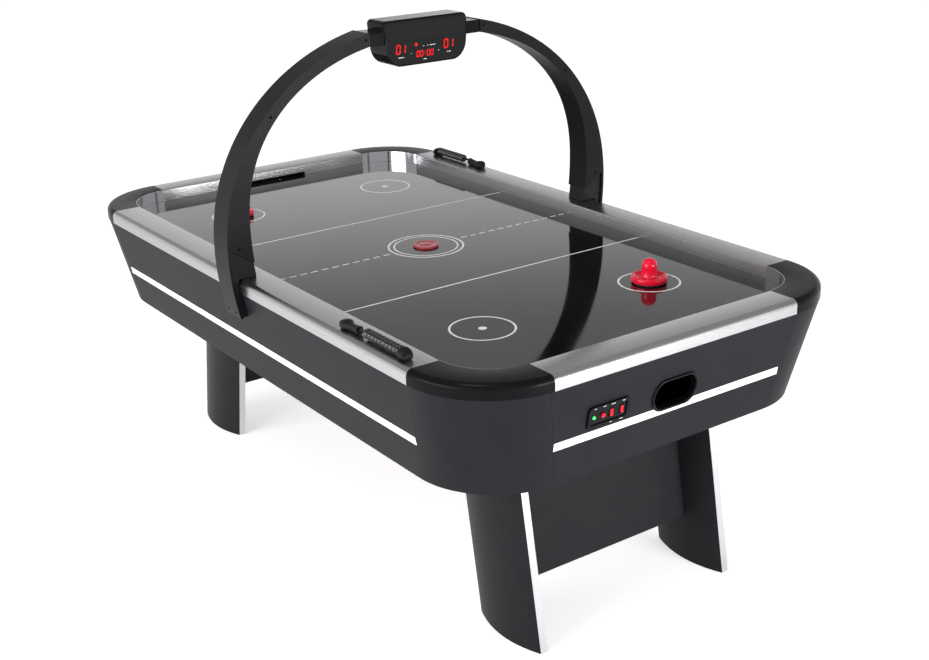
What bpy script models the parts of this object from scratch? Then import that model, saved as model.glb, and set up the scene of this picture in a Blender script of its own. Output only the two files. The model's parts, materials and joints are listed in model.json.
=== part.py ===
"""Air hockey table: a seven-foot table with a scoring arch, built as separate parts.

Metres, +Z up, standing on Z = 0. +X runs along the table to the near end, which
carries the controls, and -Y is the left side. The table is symmetric about its centre.
"""
import math

import bmesh
import bpy
from mathutils import Matrix

# Whole table
TABLE_LENGTH = 2.140
TABLE_WIDTH = 1.238
RAIL_TOP = 0.804
GAP = 0.0003            # clearance left between touching parts
HALF_L = TABLE_LENGTH / 2
HALF_W = TABLE_WIDTH / 2

# Rails and corner caps
RAIL_HEIGHT = 0.037
RAIL_WIDTH = 0.092
RAIL_EDGE_RADIUS = 0.016
RAIL_INNER_EDGE = 0.003
RAIL_WALL = 0.0035      # the rails are hollow extrusions
CAP_RADIUS = 0.234
RAIL_BOTTOM = RAIL_TOP - RAIL_HEIGHT

# Playing surface, goals and air chamber
PLAY_TOP = RAIL_BOTTOM - GAP
BOARD_THICKNESS = 0.018
BOARD_MARGIN = 0.025    # from the table's outline to the board's edge
BOARD_CORNER = 0.204
GOAL_HALF_WIDTH = 0.148
GOAL_HEIGHT = 0.0107
TRAY_HALF_L = 0.950
TRAY_HALF_W = 0.530
TRAY_DEPTH = 0.053
TRAY_WALL = 0.012
TRAY_FLOOR = 0.009
TRAY_TOP = PLAY_TOP - BOARD_THICKNESS - GAP
TRAY_BOTTOM = TRAY_TOP - TRAY_DEPTH

# Skirt: aprons and corner panels lean inwards on the way down
SKIRT_TOP = RAIL_BOTTOM - GAP
SKIRT_BOTTOM = 0.503
SKIRT_INSET = 0.004
SKIRT_SLOPE = 0.193
SKIRT_THICKNESS = 0.015
SKIRT_CORNER = 0.222
LEAN_ANGLE = math.atan(SKIRT_SLOPE)

# Legs: lens-shaped columns that splay towards the table's ends
LEG_CENTRE_X = 0.814    # at the floor
LEG_CENTRE_Y = 0.314
LEG_HALF_CHORD = 0.124
LEG_HALF_MIDDLE = 0.037
LEG_HALF_END = 0.0105
LEG_SPLAY = 0.178
LEG_PANEL_BOTTOM = 0.133
LEG_PANEL_TOP = 0.600
LEG_PANEL_THICKNESS = 0.018
LEG_PANEL_OFFSET = 0.015

# Arch: outer and inner superellipses above a foot that hooks over the side rail
ARCH_DEPTH = 0.080
ARCH_OUTER = {"half_width": 0.648, "rise": 0.550, "base": 0.874, "power": 2.10, "tuck": 0.69}
ARCH_INNER = {"half_width": 0.577, "rise": 0.450, "base": 0.934, "power": 2.25, "tuck": 0.62}
ARCH_END_Y = 0.1845
ARCH_STRAP = 0.008
ARCH_FOOT_BOTTOM = 0.697
ARCH_SPLIT_OUTER = 0.889
ARCH_SPLIT_INNER = 0.844

# Scoreboard
BOARD_HALF_Y = 0.140
BOARD_TOP = 1.429
BOARD_BOTTOM = 1.304
BOARD_DEPTH = 0.085
BOARD_TAPER = 0.72      # how fast the sides close in below the top, per metre
BOARD_TOP_RADIUS = 0.014
BOARD_BOTTOM_RADIUS = 0.046
BOARD_WALL = 0.004
WINDOW_THICKNESS = 0.003

# Control panel and puck return, centred on the end apron's outer face
CONTROL_Y = -0.2115
CONTROL_Z = 0.661
CONTROL_WIDTH = 0.123
CONTROL_HEIGHT = 0.058
CONTROL_THICKNESS = 0.006
RECESS_DEPTH = 0.003
RECESS_WIDTH = 0.107
RECESS_HEIGHT = 0.042
LAMP_Y = -0.0445
BUTTON_Y = -0.0175
ROCKER_Y = (0.0085, 0.0395)
ROCKER_REST_TILT = math.radians(-6)
MOUTH_Z = 0.655
MOUTH_WIDTH = 0.146
MOUTH_HEIGHT = 0.088
MOUTH_FLAT_SHARE = 0.53 # how much of the width is straight
MOUTH_LIP = 0.0070      # how much smaller the apron's hole is than the ring
MOUTH_RING = 0.0070     # the ring's width all round

# Bead scorers on the side rails
SCORER_Y = 0.584
SCORER_START = 0.510    # inner end of the inner foot
SCORER_END = 0.796
INNER_BOSS_LENGTH = 0.038
INNER_FOOT_LENGTH = 0.078   # the boss and a narrower neck
OUTER_FOOT_LENGTH = 0.024
FOOT_HALF_WIDTH = 0.0175
INNER_FOOT_HEIGHT = 0.0230
OUTER_FOOT_HEIGHT = 0.0265
NECK_HALF_WIDTH = 0.0100
ROD_HEIGHT = 0.0150
ROD_RADIUS = 0.004
BEAD_RADIUS = 0.0133
BEAD_PITCH = 0.0152
BEAD_PAIRS = 5

# Pushers and puck
PUSHER_X = 0.654
PUSHER_Y = 0.2755
PUSHER_RADIUS = 0.0485
PUCK_RADIUS = 0.0378
PUCK_THICKNESS = 0.006

# Blower under the air chamber
BLOWER_RADIUS = 0.084
BLOWER_HEIGHT = 0.075
IMPELLER_RADIUS = 0.070
IMPELLER_SLOTS = 16

# Maps a drawing in X, Y to world Y, Z (thickness along X), or to world X, Z (along Y)
TO_YZ = Matrix(((0, 0, 1, 0), (1, 0, 0, 0), (0, 1, 0, 0), (0, 0, 0, 1)))
TO_XZ = Matrix(((1, 0, 0, 0), (0, 0, -1, 0), (0, 1, 0, 0), (0, 0, 0, 1)))

ENDS = (("near", 1), ("far", -1))
SIDES = (("left", -1), ("right", 1))


def clear_scene():
    for item in list(bpy.data.objects):
        bpy.data.objects.remove(item, do_unlink=True)


def make_collection(name):
    collection = bpy.data.collections.new(name)
    bpy.context.scene.collection.children.link(collection)
    return collection


def make_material(name, color, roughness, metallic=0.0):
    material = bpy.data.materials.new(name)
    material.use_nodes = True
    shader = material.node_tree.nodes["Principled BSDF"]
    shader.inputs["Base Color"].default_value = (*color, 1.0)
    shader.inputs["Roughness"].default_value = roughness
    shader.inputs["Metallic"].default_value = metallic
    material.diffuse_color = (*color, 1.0)
    return material


def face_outwards(bm):
    bmesh.ops.recalc_face_normals(bm, faces=bm.faces)
    if bm.calc_volume(signed=True) < 0:
        bmesh.ops.reverse_faces(bm, faces=bm.faces)


def add_object(name, bm, kind, matrix=None, smooth=False):
    """Put a finished bmesh in the scene as one part, in its material."""
    face_outwards(bm)
    mesh = bpy.data.meshes.new(name)
    bm.to_mesh(mesh)
    bm.free()
    if smooth:
        mesh.shade_smooth()
        mesh.set_sharp_from_angle(angle=math.radians(35))
    mesh.materials.append(MATERIALS[kind])
    part = bpy.data.objects.new(name, mesh)
    PARTS.objects.link(part)
    if matrix is not None:
        part.matrix_world = matrix
    return part


def add_cutter(name, bm, matrix=None):
    face_outwards(bm)
    mesh = bpy.data.meshes.new(name)
    bm.to_mesh(mesh)
    bm.free()
    cutter = bpy.data.objects.new(name, mesh)
    CUTTERS.objects.link(cutter)
    cutter.hide_render = True
    cutter.display_type = "WIRE"
    if matrix is not None:
        cutter.matrix_world = matrix
    return cutter


def combine(part, other, operation):
    modifier = part.modifiers.new(operation.lower(), "BOOLEAN")
    modifier.operation = operation
    modifier.solver = "EXACT"
    modifier.object = other


def box(low, high):
    bm = bmesh.new()
    bmesh.ops.create_cube(bm, size=1)
    size = [b - a for a, b in zip(low, high)]
    centre = [(a + b) / 2 for a, b in zip(low, high)]
    bm.transform(Matrix.Translation(centre) @ Matrix.Diagonal((*size, 1)))
    return bm


def cylinder(radius, depth, segments=24):
    bm = bmesh.new()
    bmesh.ops.create_cone(
        bm, cap_ends=True, segments=segments, radius1=radius, radius2=radius, depth=depth)
    return bm


def plate(outline, thickness, hole=None):
    """A flat outline in X, Y, with an optional hole, centred on Z = 0."""
    curve = bpy.data.curves.new("outline", "CURVE")
    curve.dimensions = "2D"
    curve.fill_mode = "BOTH"
    curve.extrude = thickness / 2
    for loop in (outline, hole or []):
        if loop:
            spline = curve.splines.new("POLY")
            spline.points.add(len(loop) - 1)
            for point, (x, y) in zip(spline.points, loop):
                point.co = (x, y, 0, 1)
            spline.use_cyclic_u = True
    holder = bpy.data.objects.new("outline", curve)
    bpy.context.scene.collection.objects.link(holder)
    depsgraph = bpy.context.evaluated_depsgraph_get()
    mesh = bpy.data.meshes.new_from_object(holder.evaluated_get(depsgraph))
    bpy.data.objects.remove(holder)
    bpy.data.curves.remove(curve)
    bm = bmesh.new()
    bm.from_mesh(mesh)
    bpy.data.meshes.remove(mesh)
    bmesh.ops.remove_doubles(bm, verts=bm.verts, dist=1e-6)
    return bm


def turned(name, profile, kind, steps=24, ring=False, matrix=None):
    """A profile of (radius, height) points, turned about Z by a Screw modifier."""
    bm = bmesh.new()
    verts = [bm.verts.new((radius, 0, height)) for radius, height in profile]
    for first, second in zip(verts, verts[1:]):
        bm.edges.new((first, second))
    if ring:
        bm.edges.new((verts[-1], verts[0]))
    part = add_object(name, bm, kind, matrix)
    screw = part.modifiers.new("turn", "SCREW")
    screw.steps = steps
    screw.render_steps = steps
    screw.use_merge_vertices = True
    screw.merge_threshold = 0.00001
    screw.use_smooth_shade = True
    return part


def arc(centre_x, centre_y, radius, start, end, count):
    """Points along an arc, with its angles in degrees."""
    points = []
    for index in range(count + 1):
        angle = math.radians(start + (end - start) * index / count)
        points.append((centre_x + radius * math.cos(angle), centre_y + radius * math.sin(angle)))
    return points


def rounded_rectangle(half_x, half_y, radius, count=5):
    points = []
    corners = ((1, 1, 0), (-1, 1, 90), (-1, -1, 180), (1, -1, 270))
    for sign_x, sign_y, start in corners:
        centre_x = sign_x * (half_x - radius)
        centre_y = sign_y * (half_y - radius)
        points += arc(centre_x, centre_y, radius, start, start + 90, count)
    return points


def oval(width, height, count=10):
    """A slot outline with elliptical ends."""
    flat = width * MOUTH_FLAT_SHARE / 2
    reach = width / 2 - flat
    points = []
    for sign, start in ((1, -90), (-1, 90)):
        for x, y in arc(0, 0, 1, start, start + 180, count):
            points.append((sign * flat + x * reach, y * height / 2))
    return points


def skirt_inset(z):
    """How far the skirt's outer face stands inside the table's outline at a height."""
    return SKIRT_INSET + SKIRT_SLOPE * (SKIRT_TOP - z)


def end_frame(sign, y, z):
    """Frame on an end apron's outer face: X outwards, Z up the slope."""
    x = sign * (HALF_L - skirt_inset(z))
    turn = Matrix.Rotation(0 if sign > 0 else math.pi, 4, "Z")
    return Matrix.Translation((x, y, z)) @ turn @ Matrix.Rotation(LEAN_ANGLE, 4, "Y")


def rail_profile(wall=0):
    """Rail section: distance from the table's outline, then height, less a wall all round."""
    edge = arc(RAIL_EDGE_RADIUS, RAIL_TOP - RAIL_EDGE_RADIUS, RAIL_EDGE_RADIUS - wall, 180, 90, 6)
    inner_radius = max(RAIL_INNER_EDGE - wall, 0.0005)
    reach = wall + inner_radius
    inner = arc(RAIL_WIDTH - reach, RAIL_TOP - reach, inner_radius, 90, 0, 2)
    bottom = RAIL_BOTTOM + wall
    return [(wall, bottom)] + edge + inner + [(RAIL_WIDTH - wall, bottom)]


def build_playfield():
    outline = rounded_rectangle(HALF_L - BOARD_MARGIN, HALF_W - BOARD_MARGIN, BOARD_CORNER, 8)
    bm = plate(outline, BOARD_THICKNESS)
    bm.transform(Matrix.Translation((0, 0, PLAY_TOP - BOARD_THICKNESS / 2)))
    board = add_object("playfield", bm, "playfield")
    start = HALF_L - RAIL_WIDTH + 0.002
    for end, sign in ENDS:
        reach = sorted((sign * start, sign * HALF_L))
        low = (reach[0], -GOAL_HALF_WIDTH, PLAY_TOP - 0.03)
        high = (reach[1], GOAL_HALF_WIDTH, PLAY_TOP + 0.01)
        combine(board, add_cutter("goal_drop_" + end, box(low, high)), "DIFFERENCE")


def build_plenum_tray():
    low = (-TRAY_HALF_L, -TRAY_HALF_W, TRAY_BOTTOM)
    high = (TRAY_HALF_L, TRAY_HALF_W, TRAY_TOP)
    tray = add_object("plenum_tray", box(low, high), "board")
    inner_low = (-TRAY_HALF_L + TRAY_WALL, -TRAY_HALF_W + TRAY_WALL, TRAY_BOTTOM + TRAY_FLOOR)
    inner_high = (TRAY_HALF_L - TRAY_WALL, TRAY_HALF_W - TRAY_WALL, TRAY_TOP + 0.01)
    combine(tray, add_cutter("air_chamber", box(inner_low, inner_high)), "DIFFERENCE")
    port = cylinder(BLOWER_RADIUS - 0.012, 0.05)
    place = Matrix.Translation((0, 0, TRAY_BOTTOM))
    combine(tray, add_cutter("air_port", port, place), "DIFFERENCE")


def build_side_rails():
    length = 2 * (HALF_L - CAP_RADIUS - GAP)
    outline = [(HALF_W - inset, height) for inset, height in rail_profile()]
    hollow = [(HALF_W - inset, height) for inset, height in rail_profile(RAIL_WALL)]
    for side, sign in SIDES:
        bm = plate(outline, length, hollow)
        bm.transform(Matrix.Diagonal((1, sign, 1, 1)) @ TO_YZ)
        add_object("side_rail_" + side, bm, "aluminium", smooth=True)


def build_end_rails():
    length = 2 * (HALF_W - CAP_RADIUS - GAP)
    outline = [(HALF_L - inset, height) for inset, height in rail_profile()]
    hollow = [(HALF_L - inset, height) for inset, height in rail_profile(RAIL_WALL)]
    for end, sign in ENDS:
        bm = plate(outline, length, hollow)
        bm.transform(Matrix.Diagonal((sign, 1, 1, 1)) @ TO_XZ)
        rail = add_object("end_rail_" + end, bm, "aluminium", smooth=True)
        reach = sorted((sign * (HALF_L - RAIL_WIDTH - 0.01), sign * (HALF_L - 0.012)))
        low = (reach[0], -GOAL_HALF_WIDTH, RAIL_BOTTOM - 0.01)
        high = (reach[1], GOAL_HALF_WIDTH, RAIL_BOTTOM + GOAL_HEIGHT)
        combine(rail, add_cutter("goal_slot_" + end, box(low, high)), "DIFFERENCE")


def build_corner_caps():
    """The rail's section swept a quarter turn about each corner's centre."""
    for end, sign_x in ENDS:
        for side, sign_y in SIDES:
            bm = bmesh.new()
            profile = [bm.verts.new((CAP_RADIUS - inset, 0, height))
                       for inset, height in rail_profile()]
            face = bm.faces.new(profile)
            geometry = [face] + list(face.edges) + list(face.verts)
            bmesh.ops.spin(bm, geom=geometry, cent=(0, 0, 0), axis=(0, 0, 1),
                           angle=math.pi / 2, steps=12)
            centre = (sign_x * (HALF_L - CAP_RADIUS), sign_y * (HALF_W - CAP_RADIUS), 0)
            bm.transform(Matrix.Translation(centre) @ Matrix.Diagonal((sign_x, sign_y, 1, 1)))
            add_object(f"corner_cap_{end}_{side}", bm, "gloss_black", smooth=True)


def apron(half_across, half_along, name):
    """A leaning board that faces +X; both ends follow the corner panels' lean."""
    bm = box((-1, -1, SKIRT_BOTTOM), (1, 1, SKIRT_TOP))
    for vert in bm.verts:
        outer = half_across - skirt_inset(vert.co.z)
        end = half_along - skirt_inset(vert.co.z) - SKIRT_CORNER - GAP
        vert.co.x = outer if vert.co.x > 0 else outer - SKIRT_THICKNESS
        vert.co.y *= end
    return add_object(name, bm, "charcoal")


def build_aprons():
    for side, sign in SIDES:
        part = apron(HALF_W, HALF_L, "side_apron_" + side)
        part.rotation_euler.z = sign * math.pi / 2
    for end, sign in ENDS:
        part = apron(HALF_L, HALF_W, "end_apron_" + end)
        part.rotation_euler.z = 0 if sign > 0 else math.pi
        throat = plate(oval(MOUTH_WIDTH - MOUTH_LIP, MOUTH_HEIGHT - MOUTH_LIP), 0.08)
        place = end_frame(sign, 0, MOUTH_Z) @ TO_YZ
        combine(part, add_cutter("mouth_" + end, throat, place), "DIFFERENCE")
        if end == "near":
            hole = box((-0.04, -RECESS_WIDTH / 2, -RECESS_HEIGHT / 2),
                       (0.04, RECESS_WIDTH / 2, RECESS_HEIGHT / 2))
            place = end_frame(sign, CONTROL_Y, CONTROL_Z)
            combine(part, add_cutter("control_hole", hole, place), "DIFFERENCE")


def build_corner_panels():
    """Quarter rings, sheared so that they lean inwards like the aprons."""
    outline = arc(0, 0, SKIRT_CORNER, 0, 90, 12)
    outline += arc(0, 0, SKIRT_CORNER - SKIRT_THICKNESS, 90, 0, 12)
    offset = SKIRT_INSET + SKIRT_CORNER
    for end, sign_x in ENDS:
        for side, sign_y in SIDES:
            bm = plate(outline, SKIRT_TOP - SKIRT_BOTTOM)
            bm.transform(Matrix.Translation((0, 0, -(SKIRT_TOP - SKIRT_BOTTOM) / 2)))
            for vert in bm.verts:
                vert.co.x += SKIRT_SLOPE * vert.co.z
                vert.co.y += SKIRT_SLOPE * vert.co.z
            place = Matrix.Translation((HALF_L - offset, HALF_W - offset, SKIRT_TOP))
            bm.transform(Matrix.Diagonal((sign_x, sign_y, 1, 1)) @ place)
            add_object(f"corner_panel_{end}_{side}", bm, "charcoal", smooth=True)


def leg_outline():
    """A lens with blunt ends, its chord along X."""
    count = 10
    points = []
    for sign in (1, -1):
        for index in range(count + 1):
            share = sign * (1 - 2 * index / count)
            bulge = (LEG_HALF_MIDDLE - LEG_HALF_END) * (1 - share * share)
            points.append((LEG_HALF_CHORD * share, sign * (LEG_HALF_END + bulge)))
    return points


def splay(bm, sign):
    """Shear a leg or its panel, so that it leans out towards the table's end."""
    for vert in bm.verts:
        vert.co.x -= sign * LEG_SPLAY * vert.co.z


def build_legs():
    height = TRAY_BOTTOM - GAP
    for end, sign_x in ENDS:
        for side, sign_y in SIDES:
            bm = plate(leg_outline(), height)
            place = (sign_x * LEG_CENTRE_X, sign_y * LEG_CENTRE_Y, height / 2)
            bm.transform(Matrix.Translation(place))
            splay(bm, sign_x)
            add_object(f"leg_{end}_{side}", bm, "leg_black", smooth=True)
        reach = LEG_CENTRE_Y - LEG_HALF_MIDDLE - GAP
        inner = LEG_CENTRE_X + LEG_PANEL_OFFSET - LEG_PANEL_THICKNESS / 2
        span = sorted((sign_x * inner, sign_x * (inner + LEG_PANEL_THICKNESS)))
        bm = box((span[0], -reach, LEG_PANEL_BOTTOM), (span[1], reach, LEG_PANEL_TOP))
        splay(bm, sign_x)
        add_object("leg_panel_" + end, bm, "leg_black")


def arch_y(shape, z):
    """Half width of an arch curve below its base height, where it tucks in."""
    return shape["half_width"] - shape["tuck"] * (shape["base"] - z) ** 2


def arch_curve(shape, count=14):
    """Superellipse points (y, z) from the curve's base up to the beam's end."""
    power = shape["power"]
    last = math.acos((ARCH_END_Y / shape["half_width"]) ** (power / 2))
    points = []
    for index in range(count + 1):
        angle = last * index / count
        y = shape["half_width"] * math.cos(angle) ** (2 / power)
        z = shape["base"] + shape["rise"] * math.sin(angle) ** (2 / power)
        points.append((y, z))
    return points


def build_arch():
    foot_z = [ARCH_FOOT_BOTTOM + (ARCH_SPLIT_OUTER - ARCH_FOOT_BOTTOM) * i / 6 for i in range(7)]
    strap_in = [(arch_y(ARCH_OUTER, z) - ARCH_STRAP, z) for z in foot_z]
    strap_out = [(arch_y(ARCH_OUTER, z), z) for z in foot_z[:-1]]
    inner_z = [RAIL_TOP + GAP + (ARCH_SPLIT_INNER - RAIL_TOP) * i / 2 for i in range(3)]
    heel = [(arch_y(ARCH_INNER, z), z) for z in inner_z]
    toe = [(arch_y(ARCH_INNER, z), z) for z in (ARCH_SPLIT_INNER + 2 * GAP, 0.89)]
    beam = strap_out + arch_curve(ARCH_OUTER) + arch_curve(ARCH_INNER)[::-1] + toe[::-1]
    beam += strap_in[::-1]
    rail_face = HALF_W + GAP
    ledge = SKIRT_TOP - 0.001
    saddle = heel + [(y - GAP, z - GAP) for y, z in strap_in[::-1]][:-1]
    saddle.append((strap_in[0][0] - GAP, ARCH_FOOT_BOTTOM))
    saddle.append((HALF_W - skirt_inset(ARCH_FOOT_BOTTOM) + 2 * GAP, ARCH_FOOT_BOTTOM))
    saddle.append((HALF_W - skirt_inset(ledge) + 2 * GAP, ledge))
    saddle += [(rail_face, ledge), (rail_face, RAIL_TOP + GAP)]
    for side, sign in SIDES:
        for name, outline, kind in (("arch_beam_", beam, "arch_black"),
                                    ("arch_saddle_", saddle, "matte_black")):
            bm = plate(outline, ARCH_DEPTH)
            bm.transform(Matrix.Diagonal((1, sign, 1, 1)) @ TO_YZ)
            add_object(name + side, bm, kind, smooth=True)


def scoreboard_outline(inset):
    half_y = BOARD_HALF_Y - inset
    top = BOARD_TOP - inset
    bottom = BOARD_BOTTOM + inset
    upper = BOARD_TOP_RADIUS - inset
    lower = BOARD_BOTTOM_RADIUS - inset
    points = arc(half_y - upper, top - upper, upper, 0, 90, 4)
    points += arc(-half_y + upper, top - upper, upper, 90, 180, 4)
    points += arc(-half_y + lower, bottom + lower, lower, 180, 270, 8)
    points += arc(half_y - lower, bottom + lower, lower, 270, 360, 8)
    return [(y * (1 - BOARD_TAPER * (BOARD_TOP - z)), z) for y, z in points]


def build_scoreboard():
    bm = plate(scoreboard_outline(0), BOARD_DEPTH)
    case = add_object("scoreboard_case", bm, "gloss_black", TO_YZ, smooth=True)
    pocket = plate(scoreboard_outline(BOARD_WALL), BOARD_DEPTH)
    place = Matrix.Translation((BOARD_WALL, 0, 0)) @ TO_YZ
    combine(case, add_cutter("case_pocket", pocket, place), "DIFFERENCE")
    middle = (arch_curve(ARCH_OUTER)[-1][1] + arch_curve(ARCH_INNER)[-1][1]) / 2
    for side, sign in SIDES:
        reach = sorted((sign * (BOARD_HALF_Y - 0.009), sign * (ARCH_END_Y - GAP)))
        sleeve = box((-0.035, reach[0], middle - 0.017), (0.035, reach[1], middle + 0.017))
        combine(case, add_cutter("sleeve_" + side, sleeve), "UNION")
    bm = plate(scoreboard_outline(BOARD_WALL + GAP), WINDOW_THICKNESS)
    place = Matrix.Translation((BOARD_DEPTH / 2 - 0.001 - WINDOW_THICKNESS / 2, 0, 0)) @ TO_YZ
    add_object("scoreboard_window", bm, "window", place, smooth=True)


def build_puck_returns():
    """A pocket under each goal, with an oval mouth ring in the end apron."""
    floor = 0.595
    wall = 0.004
    back = 0.880
    chute = TRAY_HALF_L + 0.006
    step = TRAY_BOTTOM - GAP

    def skirt_inside(z):
        return HALF_L - skirt_inset(z) - SKIRT_THICKNESS - 0.001

    outer = [(back, floor), (skirt_inside(floor), floor), (skirt_inside(TRAY_TOP), TRAY_TOP),
             (chute, TRAY_TOP), (chute, step), (back, step)]
    inner = [(back + wall, floor + wall), (HALF_L, floor + wall), (HALF_L, HALF_L),
             (chute + wall, HALF_L), (chute + wall, step - wall), (back + wall, step - wall)]
    for end, sign in ENDS:
        turn = Matrix.Rotation(0 if sign > 0 else math.pi, 4, "Z")
        bm = plate(outer, 0.330)
        pocket = add_object("puck_return_tray_" + end, bm, "matte_black", turn @ TO_XZ)
        cutter = add_cutter("pocket_" + end, plate(inner, 0.330 - 2 * wall), turn @ TO_XZ)
        combine(pocket, cutter, "DIFFERENCE")

        frame = end_frame(sign, 0, MOUTH_Z)
        flange = plate(oval(MOUTH_WIDTH, MOUTH_HEIGHT), 0.005)
        flange.transform(Matrix.Translation((0, 0, 0.0025 + GAP)))
        ring = add_object("puck_return_ring_" + end, flange, "matte_black", frame @ TO_YZ,
                          smooth=True)
        slack = MOUTH_LIP + 2 * GAP
        throat = plate(oval(MOUTH_WIDTH - slack, MOUTH_HEIGHT - slack), 0.017)
        place = frame @ Matrix.Translation((-0.0055, 0, 0)) @ TO_YZ
        combine(ring, add_cutter("throat_" + end, throat, place), "UNION")
        hollow = plate(oval(MOUTH_WIDTH - 2 * MOUTH_RING, MOUTH_HEIGHT - 2 * MOUTH_RING), 0.08)
        combine(ring, add_cutter("hollow_" + end, hollow, frame @ TO_YZ), "DIFFERENCE")


def rocker_outline():
    """Side view of a rocker switch: outwards, then up."""
    return [(-0.0040, -0.0060), (0.0010, -0.0090), (0.0035, -0.0086), (0.0021, 0.0),
            (0.0035, 0.0086), (0.0010, 0.0090), (-0.0040, 0.0060)]


def build_controls():
    frame = end_frame(1, CONTROL_Y, CONTROL_Z)
    outline = rounded_rectangle(CONTROL_WIDTH / 2, CONTROL_HEIGHT / 2, 0.010)
    bm = plate(outline, CONTROL_THICKNESS)
    bm.transform(Matrix.Translation((0, 0, CONTROL_THICKNESS / 2 + GAP)))
    bezel = add_object("control_bezel", bm, "matte_black", frame @ TO_YZ)
    floor = CONTROL_THICKNESS + GAP - RECESS_DEPTH
    recess = plate(rounded_rectangle(RECESS_WIDTH / 2, RECESS_HEIGHT / 2, 0.004, 3), 0.02)
    place = frame @ Matrix.Translation((floor + 0.01, 0, 0)) @ TO_YZ
    combine(bezel, add_cutter("control_recess", recess, place), "DIFFERENCE")

    for name, y, radius in (("lamp_hole", LAMP_Y, 0.0054), ("button_hole", BUTTON_Y, 0.0064)):
        place = frame @ Matrix.Translation((0, y, 0)) @ Matrix.Rotation(math.pi / 2, 4, "Y")
        combine(bezel, add_cutter(name, cylinder(radius, 0.03), place), "DIFFERENCE")
    for name, y in zip(("power_rocker", "blower_rocker"), ROCKER_Y):
        place = frame @ Matrix.Translation((floor, y, 0))
        hole = box((-0.02, -0.0050, -0.0103), (0.02, 0.0050, 0.0103))
        combine(bezel, add_cutter(name + "_hole", hole, place), "DIFFERENCE")
        rocker = plate(rocker_outline(), 0.0088)
        rocker.transform(TO_XZ)
        tilt = Matrix.Rotation(ROCKER_REST_TILT, 4, "Y")
        add_object(name, rocker, "signal_red", place @ tilt)

    upright = Matrix.Rotation(math.pi / 2, 4, "Y")
    lamp = [(0, 0.0050), (0.0028, 0.0043), (0.0046, 0.0020), (0.0050, 0), (0.0050, -0.012),
            (0, -0.012)]
    place = frame @ Matrix.Translation((floor, LAMP_Y, 0)) @ upright
    turned("power_lamp", lamp, "lamp_green", 16, matrix=place)
    button = [(0, 0.0048), (0.0048, 0.0044), (0.0060, 0.0030), (0.0060, -0.010), (0, -0.010)]
    place = frame @ Matrix.Translation((floor, BUTTON_Y, 0)) @ upright
    turned("reset_button", button, "signal_red", 16, matrix=place)


def bead_profile():
    """Two beads side by side round a bore, along Z."""
    bore = ROD_RADIUS + 0.0008
    points = []
    for index in range(2):
        top = BEAD_PITCH * (2 - index) - GAP
        for share, radius in ((0, 0.78), (0.12, 0.96), (0.5, 1.0), (0.88, 0.96)):
            points.append((BEAD_RADIUS * radius, top - share * BEAD_PITCH))
    points.append((BEAD_RADIUS * 0.78, 0))
    return points + [(bore, 0), (bore, 2 * BEAD_PITCH - GAP)]


def scorer_foot(start, end, height):
    """A block with rounded corners that stands on the rail."""
    half = (end - start) / 2
    radius = 0.95 * min(half, FOOT_HALF_WIDTH)
    bm = plate(rounded_rectangle(half, FOOT_HALF_WIDTH, radius), height - GAP)
    bm.transform(Matrix.Translation((start + half, 0, (height + GAP) / 2)))
    return bm


def build_scorers():
    """A rod between two feet on each side rail, with ten beads in five joined pairs."""
    inner_end = SCORER_START + INNER_FOOT_LENGTH
    outer_start = SCORER_END - OUTER_FOOT_LENGTH
    middle = (SCORER_START + SCORER_END) / 2
    for side, sign in SIDES:
        turn = Matrix.Rotation(0 if sign < 0 else math.pi, 4, "Z")
        base = turn @ Matrix.Translation((0, -SCORER_Y, RAIL_TOP))
        boss = scorer_foot(SCORER_START, SCORER_START + INNER_BOSS_LENGTH, INNER_FOOT_HEIGHT)
        frame = add_object("scorer_frame_" + side, boss, "matte_black", base)
        neck = box((SCORER_START + INNER_BOSS_LENGTH / 2, -NECK_HALF_WIDTH, 2 * GAP),
                   (inner_end, NECK_HALF_WIDTH, INNER_FOOT_HEIGHT - GAP))
        combine(frame, add_cutter("inner_neck_" + side, neck, base), "UNION")
        place = base @ Matrix.Translation((middle, 0, ROD_HEIGHT))
        rod = cylinder(ROD_RADIUS, SCORER_END - SCORER_START - OUTER_FOOT_LENGTH, 12)
        along = Matrix.Rotation(math.pi / 2, 4, "Y")
        combine(frame, add_cutter("rod_" + side, rod, place @ along), "UNION")
        outer = scorer_foot(outer_start, SCORER_END, OUTER_FOOT_HEIGHT)
        combine(frame, add_cutter("outer_foot_" + side, outer, base), "UNION")
        stack_end = outer_start - GAP
        for pair in range(BEAD_PAIRS):
            x = stack_end - 2 * BEAD_PITCH * (pair + 1)
            place = base @ Matrix.Translation((x, 0, ROD_HEIGHT))
            turned(f"bead_pair_{side}_{pair + 1}", bead_profile(), "bead_black", 12,
                   ring=True, matrix=place @ along)


def pusher_profile():
    """Mallet: a domed knob on a dished deck inside a rounded brim, over a felt recess."""
    knob = [(0.0, 0.0660), (0.0080, 0.0646), (0.0145, 0.0606), (0.0188, 0.0540),
            (0.0205, 0.0460), (0.0203, 0.0340), (0.0206, 0.0240), (0.0240, 0.0150)]
    brim = [(0.0330, 0.0132), (0.0385, 0.0165), (0.0430, 0.0196), (0.0468, 0.0184),
            (PUSHER_RADIUS, 0.0150), (PUSHER_RADIUS, 0.0065), (0.0475, 0.0035)]
    return knob + brim + [(0.0, 0.0035)]


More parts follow.
